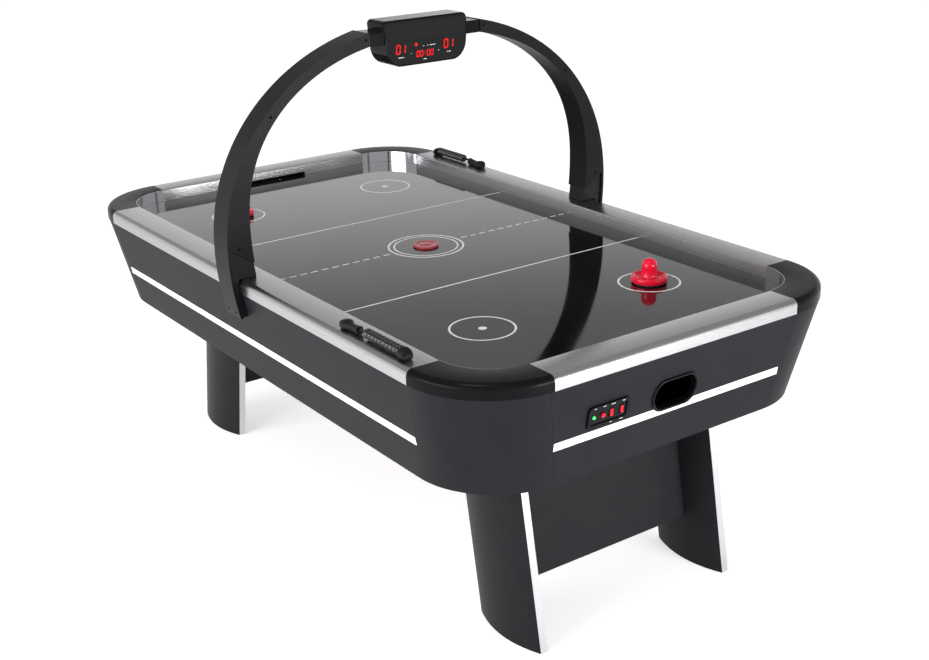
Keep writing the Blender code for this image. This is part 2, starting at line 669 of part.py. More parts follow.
def build_playing_pieces():
    for end, sign in ENDS:
        place = Matrix.Translation((sign * PUSHER_X, sign * PUSHER_Y, PLAY_TOP + GAP))
        turned("pusher_" + end, pusher_profile(), "signal_red", 28, matrix=place)
        felt = [(0, 0.0031), (0.0440, 0.0031), (0.0440, 0), (0, 0)]
        turned("pusher_felt_" + end, felt, "felt_black", 28, matrix=place)
    rim = 0.0010
    half = PUCK_THICKNESS / 2
    profile = [(0, half), (PUCK_RADIUS - rim, half), (PUCK_RADIUS, half - rim),
               (PUCK_RADIUS, rim - half), (PUCK_RADIUS - rim, -half), (0, -half)]
    place = Matrix.Translation((0, 0, PLAY_TOP + GAP + half))
    turned("puck", profile, "puck_red", 32, matrix=place)


def build_blower():
    """A bowl under the air chamber, a motor on its floor and a slotted wheel above it."""
    top = Matrix.Translation((0, 0, TRAY_BOTTOM - GAP))
    wall = 0.003
    bowl = [(0, wall - BLOWER_HEIGHT), (BLOWER_RADIUS - wall, wall - BLOWER_HEIGHT),
            (BLOWER_RADIUS - wall, 0), (BLOWER_RADIUS + 0.014, 0),
            (BLOWER_RADIUS + 0.014, -0.004), (BLOWER_RADIUS, -0.004),
            (BLOWER_RADIUS, -BLOWER_HEIGHT), (0, -BLOWER_HEIGHT)]
    housing = turned("blower_housing", bowl, "matte_black", 32, matrix=top)
    for index in range(6):
        angle = index * math.pi / 3
        place = (0.052 * math.cos(angle), 0.052 * math.sin(angle), TRAY_BOTTOM - BLOWER_HEIGHT)
        hole = add_cutter(f"intake_{index}", cylinder(0.015, 0.02, 12), Matrix.Translation(place))
        combine(housing, hole, "DIFFERENCE")
    floor = wall - BLOWER_HEIGHT + GAP
    motor = [(0, -0.018), (0.004, -0.018), (0.004, -0.042), (0.028, -0.042), (0.028, floor),
             (0, floor)]
    turned("blower_motor", motor, "steel", 24, matrix=top)

    rim = IMPELLER_RADIUS - 0.007
    wheel = [(IMPELLER_RADIUS, -0.020), (IMPELLER_RADIUS, -0.064), (rim, -0.064),
             (rim, -0.024), (0.010, -0.024), (0.010, -0.034), (0.0044, -0.034),
             (0.0044, -0.020)]
    impeller = turned("blower_impeller", wheel, "matte_black", 32, ring=True, matrix=top)
    for index in range(IMPELLER_SLOTS):
        slot = box((rim - 0.003, -0.0045, -0.059), (IMPELLER_RADIUS + 0.003, 0.0045, -0.028))
        turn = Matrix.Rotation(2 * math.pi * index / IMPELLER_SLOTS, 4, "Z")
        cutter = add_cutter(f"blade_slot_{index}", slot, top @ turn)
        combine(impeller, cutter, "DIFFERENCE")


def build_power_inlet():
    """A socket block for the supply lead, under the air chamber beside the blower."""
    top = TRAY_BOTTOM - GAP
    block = box((0.150, -0.016, top - 0.030), (0.190, 0.016, top))
    inlet = add_object("power_inlet", block, "matte_black")
    socket = box((0.168, -0.012, top - 0.023), (0.200, 0.012, top - 0.007))
    combine(inlet, add_cutter("socket", socket), "DIFFERENCE")


clear_scene()
PARTS = make_collection("air_hockey_table")
CUTTERS = make_collection("cutters")
MATERIALS = {
    "playfield": make_material("playfield", (0.030, 0.030, 0.032), 0.08),
    "board": make_material("board", (0.16, 0.12, 0.08), 0.7),
    "aluminium": make_material("aluminium", (0.62, 0.62, 0.63), 0.32, 1.0),
    "charcoal": make_material("charcoal", (0.045, 0.045, 0.050), 0.5),
    "leg_black": make_material("leg_black", (0.032, 0.032, 0.036), 0.5),
    "gloss_black": make_material("gloss_black", (0.012, 0.012, 0.013), 0.25),
    "matte_black": make_material("matte_black", (0.015, 0.015, 0.016), 0.55),
    "arch_black": make_material("arch_black", (0.030, 0.030, 0.033), 0.4),
    "window": make_material("window", (0.010, 0.010, 0.012), 0.08),
    "signal_red": make_material("signal_red", (0.75, 0.01, 0.02), 0.22),
    "puck_red": make_material("puck_red", (0.35, 0.02, 0.03), 0.3),
    "lamp_green": make_material("lamp_green", (0.05, 0.65, 0.18), 0.2),
    "bead_black": make_material("bead_black", (0.010, 0.010, 0.011), 0.18),
    "felt_black": make_material("felt_black", (0.02, 0.02, 0.02), 0.95),
    "steel": make_material("steel", (0.45, 0.45, 0.46), 0.4, 1.0),
}

build_playfield()
build_plenum_tray()
build_side_rails()
build_end_rails()
build_corner_caps()
build_aprons()
build_corner_panels()
build_legs()
build_arch()
build_scoreboard()
build_puck_returns()
build_controls()
build_scorers()
build_playing_pieces()
build_blower()
build_power_inlet()
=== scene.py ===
"""The looks of an air hockey table: finished surfaces, trims, markings and small parts.

Metres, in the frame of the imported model: +X runs to the near end, with the controls,
and -Y is the left side. Each piece rides on the body whose part it belongs to.
"""
import json
import math

import bmesh
import bpy
from mathutils import Matrix, Vector

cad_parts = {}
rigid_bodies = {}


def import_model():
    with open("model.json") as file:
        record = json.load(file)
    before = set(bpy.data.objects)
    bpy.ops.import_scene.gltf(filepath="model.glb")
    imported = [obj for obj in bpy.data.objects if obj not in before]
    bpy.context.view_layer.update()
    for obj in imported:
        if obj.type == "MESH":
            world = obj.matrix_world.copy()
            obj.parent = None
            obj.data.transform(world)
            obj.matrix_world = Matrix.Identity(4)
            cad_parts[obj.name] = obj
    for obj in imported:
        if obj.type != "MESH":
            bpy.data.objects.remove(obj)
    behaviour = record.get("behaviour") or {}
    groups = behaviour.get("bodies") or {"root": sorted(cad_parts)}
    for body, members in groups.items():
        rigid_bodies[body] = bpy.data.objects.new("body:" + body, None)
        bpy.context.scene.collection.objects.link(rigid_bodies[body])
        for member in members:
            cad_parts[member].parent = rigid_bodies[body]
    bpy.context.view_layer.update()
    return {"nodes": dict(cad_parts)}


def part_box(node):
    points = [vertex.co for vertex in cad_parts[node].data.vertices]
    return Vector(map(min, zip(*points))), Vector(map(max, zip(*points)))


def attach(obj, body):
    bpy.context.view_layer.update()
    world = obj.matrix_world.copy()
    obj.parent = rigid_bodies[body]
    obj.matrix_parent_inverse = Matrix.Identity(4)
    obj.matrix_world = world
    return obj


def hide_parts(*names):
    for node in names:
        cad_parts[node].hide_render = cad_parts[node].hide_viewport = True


for item in list(bpy.data.objects):
    bpy.data.objects.remove(item, do_unlink=True)

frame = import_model()
NODES = frame["nodes"]

GAP = 0.0003
CUT_DEPTH = 0.04        # cutters this deep go right through a thin piece
CUT_MARGIN = 0.01
ENDS = (("near", 1), ("far", -1))
SIDES = (("left", -1), ("right", 1))

# The frame's own measures
HALF_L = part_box("end_rail_near")[1].x
HALF_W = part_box("side_rail_right")[1].y
RAIL_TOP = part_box("side_rail_right")[1].z
RAIL_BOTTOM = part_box("side_rail_right")[0].z
RAIL_WIDTH = HALF_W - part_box("side_rail_right")[0].y
CAP_RADIUS = HALF_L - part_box("corner_cap_near_left")[0].x
PLAY_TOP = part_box("playfield")[1].z
SKIRT_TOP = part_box("side_apron_left")[1].z
SKIRT_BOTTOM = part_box("side_apron_left")[0].z

# Rails and caps
EDGE_RADIUS = 0.016
INNER_EDGE = 0.003
GOAL_HALF_WIDTH = 0.148
GOAL_HEIGHT = 0.0107
GOAL_BACK = 0.012       # what the slot leaves of the end rail behind it
LINER_THICKNESS = 0.0015
LINER_DROP = 0.0006     # the corner liners end this far below the rails' tops

# Skirt
SKIRT_INSET = 0.004
SKIRT_SLOPE = 0.193
SKIRT_THICKNESS = 0.015
SKIRT_CORNER = 0.222
LEAN_ANGLE = math.atan(SKIRT_SLOPE)
STRIPE_Z = (0.601, 0.622)
STRIPE_PROUD = 0.0006

# Legs
LEG_CENTRE = (0.814, 0.314)
LEG_HALF_CHORD = 0.124
LEG_HALF_MIDDLE = 0.037
LEG_HALF_END = 0.0105
LEG_SPLAY = 0.178
LEG_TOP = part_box("leg_near_left")[1].z
LEG_STRIP = 0.0012      # how far the bright strips stand out from a leg's edge
LEG_STRIP_START = 0.0008

# Arch
ARCH_DEPTH = 0.080
ARCH_OUTER = {"half_width": 0.648, "rise": 0.550, "base": 0.874, "power": 2.10, "tuck": 0.69}
ARCH_INNER = {"half_width": 0.577, "rise": 0.450, "base": 0.934, "power": 2.25, "tuck": 0.62}
ARCH_END_Y = 0.1845
ARCH_STRAP = 0.008
ARCH_FOOT_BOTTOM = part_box("arch_beam_left")[0].z
ARCH_SPLIT_OUTER = 0.889
ARCH_SPLIT_INNER = 0.844
ARCH_TOE_Z = (0.86, 0.875, 0.89, 0.905, 0.92)
SADDLE_DEPTH = 0.067
SADDLE_LEDGE = SKIRT_TOP - 0.001
BEAM_SCREWS = ((0.6136, 0.8906), (0.4936, 1.2230), (0.1940, 1.3870))     # Y, Z, front and back
BEAM_SCREW = {"head": 0.0038, "hole": 0.0042, "cut": 0.008, "sunk": 0.0015}
STRAP_SCREWS = ((0.018, 0.712), (-0.022, 0.712))     # X, Z, on the outer side
STRAP_SCREW = {"head": 0.0041, "hole": 0.0045, "cut": 0.006, "sunk": 0.0008}

# Scoreboard
BOARD_LOW, BOARD_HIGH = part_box("scoreboard_case")
BOARD_HALF_Y = 0.140
BOARD_TAPER = 0.72      # how fast the sides close in below the top, per metre
BOARD_TOP_RADIUS = 0.014
BOARD_BOTTOM_RADIUS = 0.046
HOOD_START = 1.372      # above this height the front leans back
HOOD_DEPTH = 0.010
HOOD_CURVE = 1.6        # 1 is a straight slope, and more starts it more gently
PANEL_INSET = 0.0055
PANEL_THICKNESS = 0.002
PANEL_X = BOARD_HIGH.x - 0.0005
DISPLAY_X = BOARD_HIGH.x + 0.0006
SLEEVE_HALF_DEPTH = 0.038
SLEEVE_OVERLAP = 0.009  # the sleeves start this far inside the case
SLEEVE_BELOW = 0.0185   # and reach this far below and above the middle of the beams' ends
SLEEVE_ABOVE = 0.0165
SLEEVE_END = ARCH_END_Y - 0.0004

# Display
SCORE_Y = (-0.086, 0.0715)
SCORE_Z = 1.351
SCORE_FIGURE = (0.023, 0.0032)      # a figure's height, and its bars' width
SCORE_SPACING = 0.0085
TIMER_Y = -0.008
TIMER_Z = 1.333
TIMER_FIGURE = (0.0155, 0.0023)
TIMER_SPACING = (-0.023, -0.011, 0.011, 0.023)
COLON_Z = (1.3300, 1.3360)
COLON_SIZE = 0.0020
INDICATOR = (TIMER_Y - 0.028, 1.359)
INDICATOR_RADIUS = 0.0045
FIGURE_SLANT = 0.10
BAR_END = 0.62          # how far a bar stops short of its corners, in bar widths
LIT_DEPTH = 0.0004
PRINT_DEPTH = 0.0003
SCORE_MARKS = (         # Y, Z, width and height of each printed dash
    (SCORE_Y[0], 1.3285, 0.018, 0.0018), (SCORE_Y[1], 1.3285, 0.013, 0.0018),
    (TIMER_Y, 1.3170, 0.010, 0.0018), (TIMER_Y - 0.004, 1.3530, 0.004, 0.0014),
    (TIMER_Y + 0.010, 1.3530, 0.004, 0.0014), (TIMER_Y + 0.026, 1.3530, 0.018, 0.0016),
    (TIMER_Y - 0.045, 1.336, 0.0022, 0.0022), (TIMER_Y + 0.045, 1.336, 0.0022, 0.0022),
)

# Controls
CONTROL = (-0.2115, 0.661)
CONTROL_SIZE = (0.123, 0.058, 0.006)
CONTROL_CORNER = 0.010
CONTROL_RECESS = (0.107, 0.042, 0.003)
RECESS_CORNER = 0.005
CONTROL_FLOOR = CONTROL_SIZE[2] + GAP - CONTROL_RECESS[2]
LAMP_Y = -0.0445
LAMP_RADIUS = 0.0050
LAMP_HOLE = 0.0054
BUTTON_Y = -0.0175
BUTTON_RADIUS = 0.0060
BUTTON_HOLE = 0.0064
ROCKER_Y = (0.0085, 0.0395)
ROCKER_WIDTH = 0.0080
ROCKER_TILT = math.radians(-6)
ROCKER_HOLE = (0.0100, 0.0206)
ROCKER_FRAME = (0.0144, 0.0250, 0.0014)
FRAME_CORNER = 0.0012
MARK_X = CONTROL_SIZE[2] + GAP + 0.0002
MARK_HEIGHT = 0.0248    # the dashes stand on the plate's rim, above and below the recess
CONTROL_MARKS = (       # Y, Z, width and height of each printed dash
    (LAMP_Y, MARK_HEIGHT, 0.006, 0.0016), (BUTTON_Y, MARK_HEIGHT, 0.009, 0.0016),
    (ROCKER_Y[0], MARK_HEIGHT, 0.012, 0.0016), (ROCKER_Y[1], MARK_HEIGHT, 0.008, 0.0016),
    (ROCKER_Y[0], -MARK_HEIGHT, 0.007, 0.0014), (ROCKER_Y[1], -MARK_HEIGHT, 0.010, 0.0014),
)

# Puck return
MOUTH_Z = 0.655
MOUTH_SIZE = (0.146, 0.088)
MOUTH_HOLE = (0.132, 0.074)
MOUTH_FLAT_SHARE = 0.53         # how much of a mouth's width is straight
MOUTH_LIP = (           # share of the way from the ring's outline to its hole, height
    (0.0, GAP), (0.0, 0.0016), (0.08, 0.0036), (0.25, 0.0048), (0.50, 0.0050), (0.80, 0.0042),
    (0.96, 0.0026), (1.0, 0.0006), (1.0, -0.014), (0.60, -0.014), (0.60, GAP),
)
STRIPE_UNDER_RING = 0.005       # how far the end stripes run under the ring

# Bead scorers
SCORER_Y = 0.584
SCORER_START = 0.510
SCORER_END = 0.796
OUTER_FOOT_LENGTH = 0.024
INNER_FOOT = (          # distance along the scorer, half width and height of each section
    (0.0, 0.0040, 0.0085), (0.0008, 0.0070, 0.0135), (0.0028, 0.0108, 0.0176),
    (0.0064, 0.0142, 0.0206), (0.0115, 0.0166, 0.0222), (0.0180, 0.0175, 0.0228),
    (0.0245, 0.0168, 0.0224), (0.0295, 0.0146, 0.0212), (0.0335, 0.0118, 0.0200),
    (0.0370, 0.0098, 0.0195), (0.0480, 0.0092, 0.0196), (0.0620, 0.0092, 0.0202),
    (0.0740, 0.0098, 0.0222), (0.0780, 0.0099, 0.0226),
)
OUTER_FOOT = (
    (0.0, 0.0168, 0.0264), (0.0020, 0.0174, 0.0264), (0.0070, 0.0175, 0.0256),
    (0.0130, 0.0172, 0.0232), (0.0180, 0.0160, 0.0198), (0.0215, 0.0140, 0.0158),
    (0.0235, 0.0110, 0.0110), (OUTER_FOOT_LENGTH, 0.0080, 0.0080),
)
FOOT_ROUNDING = 0.75    # 1 makes a foot's sections ellipses, and less makes them squarer
ROD_HEIGHT = 0.0150
ROD_RADIUS = 0.004
ROD_INSET = 0.0002      # keeps the visible rod just inside the part's own
BEAD_RADIUS = 0.0133
BEAD_PITCH = 0.0152
BEAD_PAIRS = 5
BEAD_CLEARANCE = 0.0006

# Playing pieces and markings
PUSHER_RADIUS = 0.0485
PUSHER_FOOT = 0.0035    # the felt pad fills the space below
PUCK_RADIUS = 0.0378
PUCK_THICKNESS = 0.006
PUCK_EDGE = 0.0010
PUCK_GROOVE = 0.0004
LINE_X = 0.336
LINE_WIDTH = 0.0056
LINE_THICKNESS = 0.00015
LINE_END_GAP = 0.001
DASH_PITCH = 0.034
DASH_SHARE = 0.62
DASH_CLEARANCE = 0.006  # between the centre rings and the middle of the nearest dash
FACE_OFF = (0.654, 0.2755)      # the circles' centres; a pusher stands on two of them
FACE_OFF_RADIUS = 0.0818
FACE_OFF_SPOT = 0.011
CENTRE_RADII = (0.1093, 0.093)
CENTRE_WIDTHS = (LINE_WIDTH, LINE_WIDTH * 0.8)

# Studio: a white backdrop that fades between two elevations, a floor and three softboxes
BACKDROP_FADE = (math.radians(13), math.radians(21))
BACKDROP_STRENGTH = (1.20, 0.46)
SOFTBOXES = (           # name, place, size and watts
    ("softbox_left", (0.2, -4.6, 1.6), (4.0, 1.6), 190),
    ("softbox_near", (4.5, 1.1, 0.75), (1.6, 1.0), 150),
    ("softbox_top", (1.0, -1.2, 3.6), (0.7, 0.7), 28),
)
SOFTBOX_TARGET = Vector((0, 0, 0.7))
FLOOR_HALF = 30
FLOOR_Z = (-0.02, -0.0005)
CAMERA_PLACE = (3.215, -2.127, 1.960)
CAMERA_ANGLES = (54.937, 20.742, -1.551)    # azimuth, elevation and roll, in degrees
CAMERA_LENS = 53.43
CAMERA_SENSOR = 36.0

# Turns a drawing in X, Y (thickness along Z) to face along X or along Y
TO_YZ = Matrix(((0, 0, 1, 0), (1, 0, 0, 0), (0, 1, 0, 0), (0, 0, 0, 1)))
TO_XZ = Matrix(((1, 0, 0, 0), (0, 0, -1, 0), (0, 1, 0, 0), (0, 0, 0, 1)))
ALONG_X = Matrix.Rotation(math.pi / 2, 4, "Y")      # lays what stands along Z down along X


# Materials

class Look:
    """A Principled material, with procedural detail added step by step."""

    def __init__(self, name, color, roughness, metallic=0.0, ior=1.5, coat=0.0):
        self.material = bpy.data.materials.new(name)
        self.material.use_nodes = True
        self.tree = self.material.node_tree
        self.shader = self.tree.nodes["Principled BSDF"]
        self.color = (*color, 1.0)
        self.shader.inputs["Base Color"].default_value = self.color
        self.shader.inputs["Roughness"].default_value = roughness
        self.shader.inputs["Metallic"].default_value = metallic
        self.shader.inputs["IOR"].default_value = ior
        self.shader.inputs["Coat Weight"].default_value = coat
        self.place = self.tree.nodes.new("ShaderNodeTexCoord").outputs["Object"]

    def link(self, source, target):
        self.tree.links.new(source, target)

    def noise(self, scale, stretch, detail=3.0):
        mapping = self.tree.nodes.new("ShaderNodeMapping")
        mapping.inputs["Scale"].default_value = stretch
        noise = self.tree.nodes.new("ShaderNodeTexNoise")
        noise.inputs["Scale"].default_value = scale
        noise.inputs["Detail"].default_value = detail
        self.link(self.place, mapping.inputs["Vector"])
        self.link(mapping.outputs["Vector"], noise.inputs["Vector"])
        return noise.outputs["Fac"]

    def spread(self, source, low, high):
        """Map a noise's middle range to low..high."""
        remap = self.tree.nodes.new("ShaderNodeMapRange")
        remap.inputs["From Min"].default_value = 0.3
        remap.inputs["From Max"].default_value = 0.7
        remap.inputs["To Min"].default_value = low
        remap.inputs["To Max"].default_value = high
        self.link(source, remap.inputs["Value"])
        return remap.outputs["Result"]

    def vary_roughness(self, scale, low, high, stretch=(1, 1, 1)):
        self.link(self.spread(self.noise(scale, stretch), low, high),
                  self.shader.inputs["Roughness"])
        return self

    def vary_color(self, scale, other, stretch=(1, 1, 1)):
        mix = self.tree.nodes.new("ShaderNodeMix")
        mix.data_type = "RGBA"
        mix.inputs["A"].default_value = self.color
        mix.inputs["B"].default_value = (*other, 1.0)
        share = self.spread(self.noise(scale, stretch), 0.0, 1.0)
        self.link(share, mix.inputs["Factor"])
        self.link(mix.outputs["Result"], self.shader.inputs["Base Color"])
        return self

    def grain(self, scale, strength, distance, stretch=(1, 1, 1), detail=2.0):
        bump = self.tree.nodes.new("ShaderNodeBump")
        bump.inputs["Strength"].default_value = strength
        bump.inputs["Distance"].default_value = distance
        self.link(self.noise(scale, stretch, detail), bump.inputs["Height"])
        before = self.shader.inputs["Normal"].links
        if before:
            self.link(before[0].from_socket, bump.inputs["Normal"])
        self.link(bump.outputs["Normal"], self.shader.inputs["Normal"])
        return self

    def glow(self, color, strength):
        self.shader.inputs["Emission Color"].default_value = (*color, 1.0)
        self.shader.inputs["Emission Strength"].default_value = strength
        return self


def brushed(name, stretch):
    """Satin aluminium, brushed along one axis."""
    return (Look(name, (0.41, 0.41, 0.42), 0.27, 1.0)
            .vary_color(700, (0.395, 0.395, 0.405), stretch=stretch)
            .vary_roughness(500, 0.245, 0.285, stretch))


def make_looks():
    return {
        "laminate": Look("playfield_laminate", (0.004, 0.004, 0.004), 0.05, ior=1.75)
        .vary_roughness(9, 0.035, 0.075).grain(35, 0.04, 0.0004),
        "fibreboard": Look("bare_fibreboard", (0.20, 0.13, 0.075), 0.75)
        .vary_color(420, (0.10, 0.065, 0.035)).grain(900, 0.5, 0.0004),
        "brushed_x": brushed("aluminium_brushed_along", (0.004, 1, 1)),
        "brushed_y": brushed("aluminium_brushed_across", (1, 0.004, 1)),
        "charcoal": Look("charcoal_foil", (0.013, 0.013, 0.0155), 0.42, ior=1.13)
        .vary_color(14, (0.015, 0.015, 0.0175)).vary_roughness(700, 0.38, 0.50)
        .grain(1400, 0.25, 0.0002),
        "leg": Look("leg_foil", (0.012, 0.012, 0.0145), 0.42, ior=1.15)
        .vary_color(18, (0.014, 0.014, 0.016)).vary_roughness(700, 0.36, 0.5)
        .grain(1400, 0.25, 0.0002),
        "cap": Look("cap_moulding", (0.005, 0.005, 0.006), 0.24, ior=1.13)
        .vary_roughness(500, 0.20, 0.32).grain(1800, 0.2, 0.0002),
        "arch": Look("arch_moulding", (0.008, 0.008, 0.0095), 0.32, ior=1.16)
        .vary_roughness(600, 0.30, 0.44).grain(1800, 0.3, 0.0002),
        "matte": Look("matte_moulding", (0.005, 0.005, 0.006), 0.5, ior=1.25)
        .vary_roughness(700, 0.42, 0.58).grain(2000, 0.4, 0.0002),
        "gloss": Look("gloss_moulding", (0.004, 0.004, 0.005), 0.16, ior=1.18)
        .vary_roughness(300, 0.12, 0.22).grain(900, 0.08, 0.0002),
        "bead": Look("bead_moulding", (0.003, 0.003, 0.004), 0.12, ior=1.6)
        .vary_roughness(300, 0.09, 0.16).grain(900, 0.06, 0.0002),
        "rod": Look("rod_moulding", (0.006, 0.006, 0.007), 0.35, ior=1.3)
        .vary_roughness(300, 0.30, 0.42),
        "window": Look("smoked_window", (0.003, 0.003, 0.004), 0.07, ior=1.32)
        .vary_roughness(40, 0.05, 0.10).grain(60, 0.03, 0.0002),
        "chrome": Look("chrome_trim", (0.56, 0.56, 0.58), 0.10, 1.0)
        .vary_roughness(90, 0.06, 0.15).grain(28, 0.35, 0.0012, detail=4.0),
        "liner": Look("polished_liner", (0.70, 0.70, 0.74), 0.10, 1.0)
        .vary_roughness(140, 0.07, 0.16, (1, 1, 0.05)).grain(300, 0.1, 0.0002, (1, 1, 0.02)),
        "stripe": Look("white_inlay", (0.86, 0.86, 0.87), 0.38)
        .vary_roughness(300, 0.32, 0.44).grain(900, 0.1, 0.0001),
        "marking": Look("white_marking", (0.80, 0.80, 0.80), 0.45)
        .vary_color(160, (0.70, 0.70, 0.70)).vary_roughness(500, 0.38, 0.52),
        "red": Look("red_moulding", (0.64, 0.004, 0.028), 0.20, ior=1.35)
        .vary_roughness(120, 0.14, 0.24).grain(500, 0.06, 0.0002),
        "puck": Look("puck_moulding", (0.30, 0.012, 0.022), 0.28)
        .vary_color(60, (0.36, 0.030, 0.040)).vary_roughness(200, 0.22, 0.38),
        "lamp": Look("lamp_lens", (0.04, 0.55, 0.14), 0.15, coat=0.5)
        .vary_roughness(300, 0.1, 0.2).glow((0.05, 0.85, 0.20), 0.5),
        "switch": Look("switch_lens", (0.50, 0.0, 0.006), 0.15, ior=1.35)
        .vary_roughness(300, 0.1, 0.2).glow((1.0, 0.0, 0.01), 0.20),
        "digit": Look("lit_segment", (0.30, 0.0, 0.0), 0.3, ior=1.2)
        .vary_roughness(300, 0.25, 0.35).glow((1.0, 0.0, 0.0), 0.95),
        "dash": Look("printed_dash", (0.55, 0.55, 0.55), 0.5).vary_roughness(300, 0.45, 0.55),
        "felt": Look("felt_pad", (0.015, 0.015, 0.015), 0.95)
        .vary_color(600, (0.03, 0.03, 0.03)).grain(1500, 0.8, 0.0006),
        "steel": Look("plain_steel", (0.45, 0.45, 0.46), 0.35, 1.0)
        .vary_roughness(250, 0.28, 0.45, (1, 1, 0.1)),
        "floor": Look("studio_floor", (0.88, 0.88, 0.88), 0.8).glow((1.0, 1.0, 1.0), 0.56),
    }


LOOKS = make_looks()


# Meshes

def arc(centre_x, centre_y, radius, start, end, count):
    """Points along an arc, with its angles in degrees."""
    points = []
    for index in range(count + 1):
        angle = math.radians(start + (end - start) * index / count)
        points.append((centre_x + radius * math.cos(angle), centre_y + radius * math.sin(angle)))
    return points


def rounded_rectangle(half_x, half_y, radius, count=8):
    points = []
    for sign_x, sign_y, start in ((1, 1, 0), (-1, 1, 90), (-1, -1, 180), (1, -1, 270)):
        centre = (sign_x * (half_x - radius), sign_y * (half_y - radius))
        points += arc(*centre, radius, start, start + 90, count)
    return points


def oval(width, height, count=16):
    """A mouth's outline: straight above and below, with elliptical ends."""
    flat = width * MOUTH_FLAT_SHARE / 2
    reach = width / 2 - flat
    points = []
    for sign, start in ((1, -90), (-1, 90)):
        for x, y in arc(0, 0, 1, start, start + 180, count):
            points.append((sign * flat + x * reach, y * height / 2))
    return points


def dash(centre, width, height):
    """A plain rectangle's outline."""
    half_w, half_h = width / 2, height / 2
    return [(centre[0] - half_w, centre[1] - half_h), (centre[0] + half_w, centre[1] - half_h),
            (centre[0] + half_w, centre[1] + half_h), (centre[0] - half_w, centre[1] + half_h)]


def spaced(start, end, count):
    """Evenly spaced values, with both ends."""
    return [start + (end - start) * index / count for index in range(count + 1)]


def prism(outline, depth):
    """A flat outline in X, Y made solid, centred on Z = 0."""
    bm = bmesh.new()
    face = bm.faces.new([bm.verts.new((x, y, -depth / 2)) for x, y in outline])
    grown = bmesh.ops.extrude_face_region(bm, geom=[face])
    lifted = [item for item in grown["geom"] if isinstance(item, bmesh.types.BMVert)]
    bmesh.ops.translate(bm, verts=lifted, vec=(0, 0, depth))
    return bm


def merge(bm, part):
    """Add one mesh to another."""
    mesh = bpy.data.meshes.new("part")
    part.to_mesh(mesh)
    part.free()
    bm.from_mesh(mesh)
    bpy.data.meshes.remove(mesh)


def prisms(outlines, depth):
    bm = bmesh.new()
    for outline in outlines:
        merge(bm, prism(outline, depth))
    return bm


def block(low, high):
    bm = bmesh.new()
    bmesh.ops.create_cube(bm, size=1)
    size = [b - a for a, b in zip(low, high)]
    centre = [(a + b) / 2 for a, b in zip(low, high)]
    bm.transform(Matrix.Translation(centre) @ Matrix.Diagonal((*size, 1)))
    return bm


def rod(radius, depth, segments=32):
    bm = bmesh.new()
    bmesh.ops.create_cone(
        bm, cap_ends=True, segments=segments, radius1=radius, radius2=radius, depth=depth)
    return bm


def loft(sections, closed=False):
    """Faces between rings of points; the first and last ring are filled unless closed."""
    bm = bmesh.new()
    rings = [[bm.verts.new(point) for point in section] for section in sections]
    pairs = list(zip(rings, rings[1:]))
    if closed:
        pairs.append((rings[-1], rings[0]))
    for first, second in pairs:
        for index in range(len(first)):
            follow = (index + 1) % len(first)
            bm.faces.new((first[index], first[follow], second[follow], second[index]))
    if not closed:
        bm.faces.new(rings[0][::-1])
        bm.faces.new(rings[-1])
    return bm


def turned(profile, steps=48):
    """A (radius, height) profile turned about Z; it starts and ends on the axis, or is a ring."""
    on_axis = profile[0][0] == 0
    inner = [point for point in profile if point[0] > 0]
    bm = bmesh.new()
    rings = []
    for radius, height in inner:
        rings.append([bm.verts.new((radius * math.cos(2 * math.pi * step / steps),
                                    radius * math.sin(2 * math.pi * step / steps), height))
                      for step in range(steps)])
    pairs = list(zip(rings, rings[1:]))
    if not on_axis:
        pairs.append((rings[-1], rings[0]))
    for first, second in pairs:
        for step in range(steps):
            follow = (step + 1) % steps
            bm.faces.new((first[step], first[follow], second[follow], second[step]))
    if on_axis:
        for ring, (_, height) in ((rings[0], profile[0]), (rings[-1], profile[-1])):
            tip = bm.verts.new((0, 0, height))
            for step in range(steps):
                bm.faces.new((ring[step], ring[(step + 1) % steps], tip))
    return bm


def smooth_profile(points, count=6):
    """A Catmull-Rom curve through (radius, height) points."""
    result = []
    ends = [points[0]] + list(points) + [points[-1]]
    for index in range(1, len(ends) - 2):
        before, here, after, beyond = (Vector(point) for point in ends[index - 1:index + 3])
        for step in range(count):
            t = step / count
            point = 0.5 * (2 * here + (after - before) * t
                           + (2 * before - 5 * here + 4 * after - beyond) * t ** 2
                           + (3 * here - before - 3 * after + beyond) * t ** 3)
            result.append((max(point.x, 0), point.y))
    return result + [tuple(points[-1])]


def mesh_object(name, bm, matrix=None):
    bmesh.ops.recalc_face_normals(bm, faces=bm.faces)
    if matrix is not None:
        bm.transform(matrix)
    if bm.calc_volume(signed=True) < 0:
        bmesh.ops.reverse_faces(bm, faces=bm.faces)
    mesh = bpy.data.meshes.new(name)
    bm.to_mesh(mesh)
    bm.free()
    item = bpy.data.objects.new(name, mesh)
    bpy.context.scene.collection.objects.link(item)
    return item


def round_edges(item, width, segments, angle):
    bevel = item.modifiers.new("rounded_edges", "BEVEL")
    bevel.width = width
    bevel.segments = segments
    bevel.limit_method = "ANGLE"
    bevel.angle_limit = math.radians(angle)
    bevel.harden_normals = True


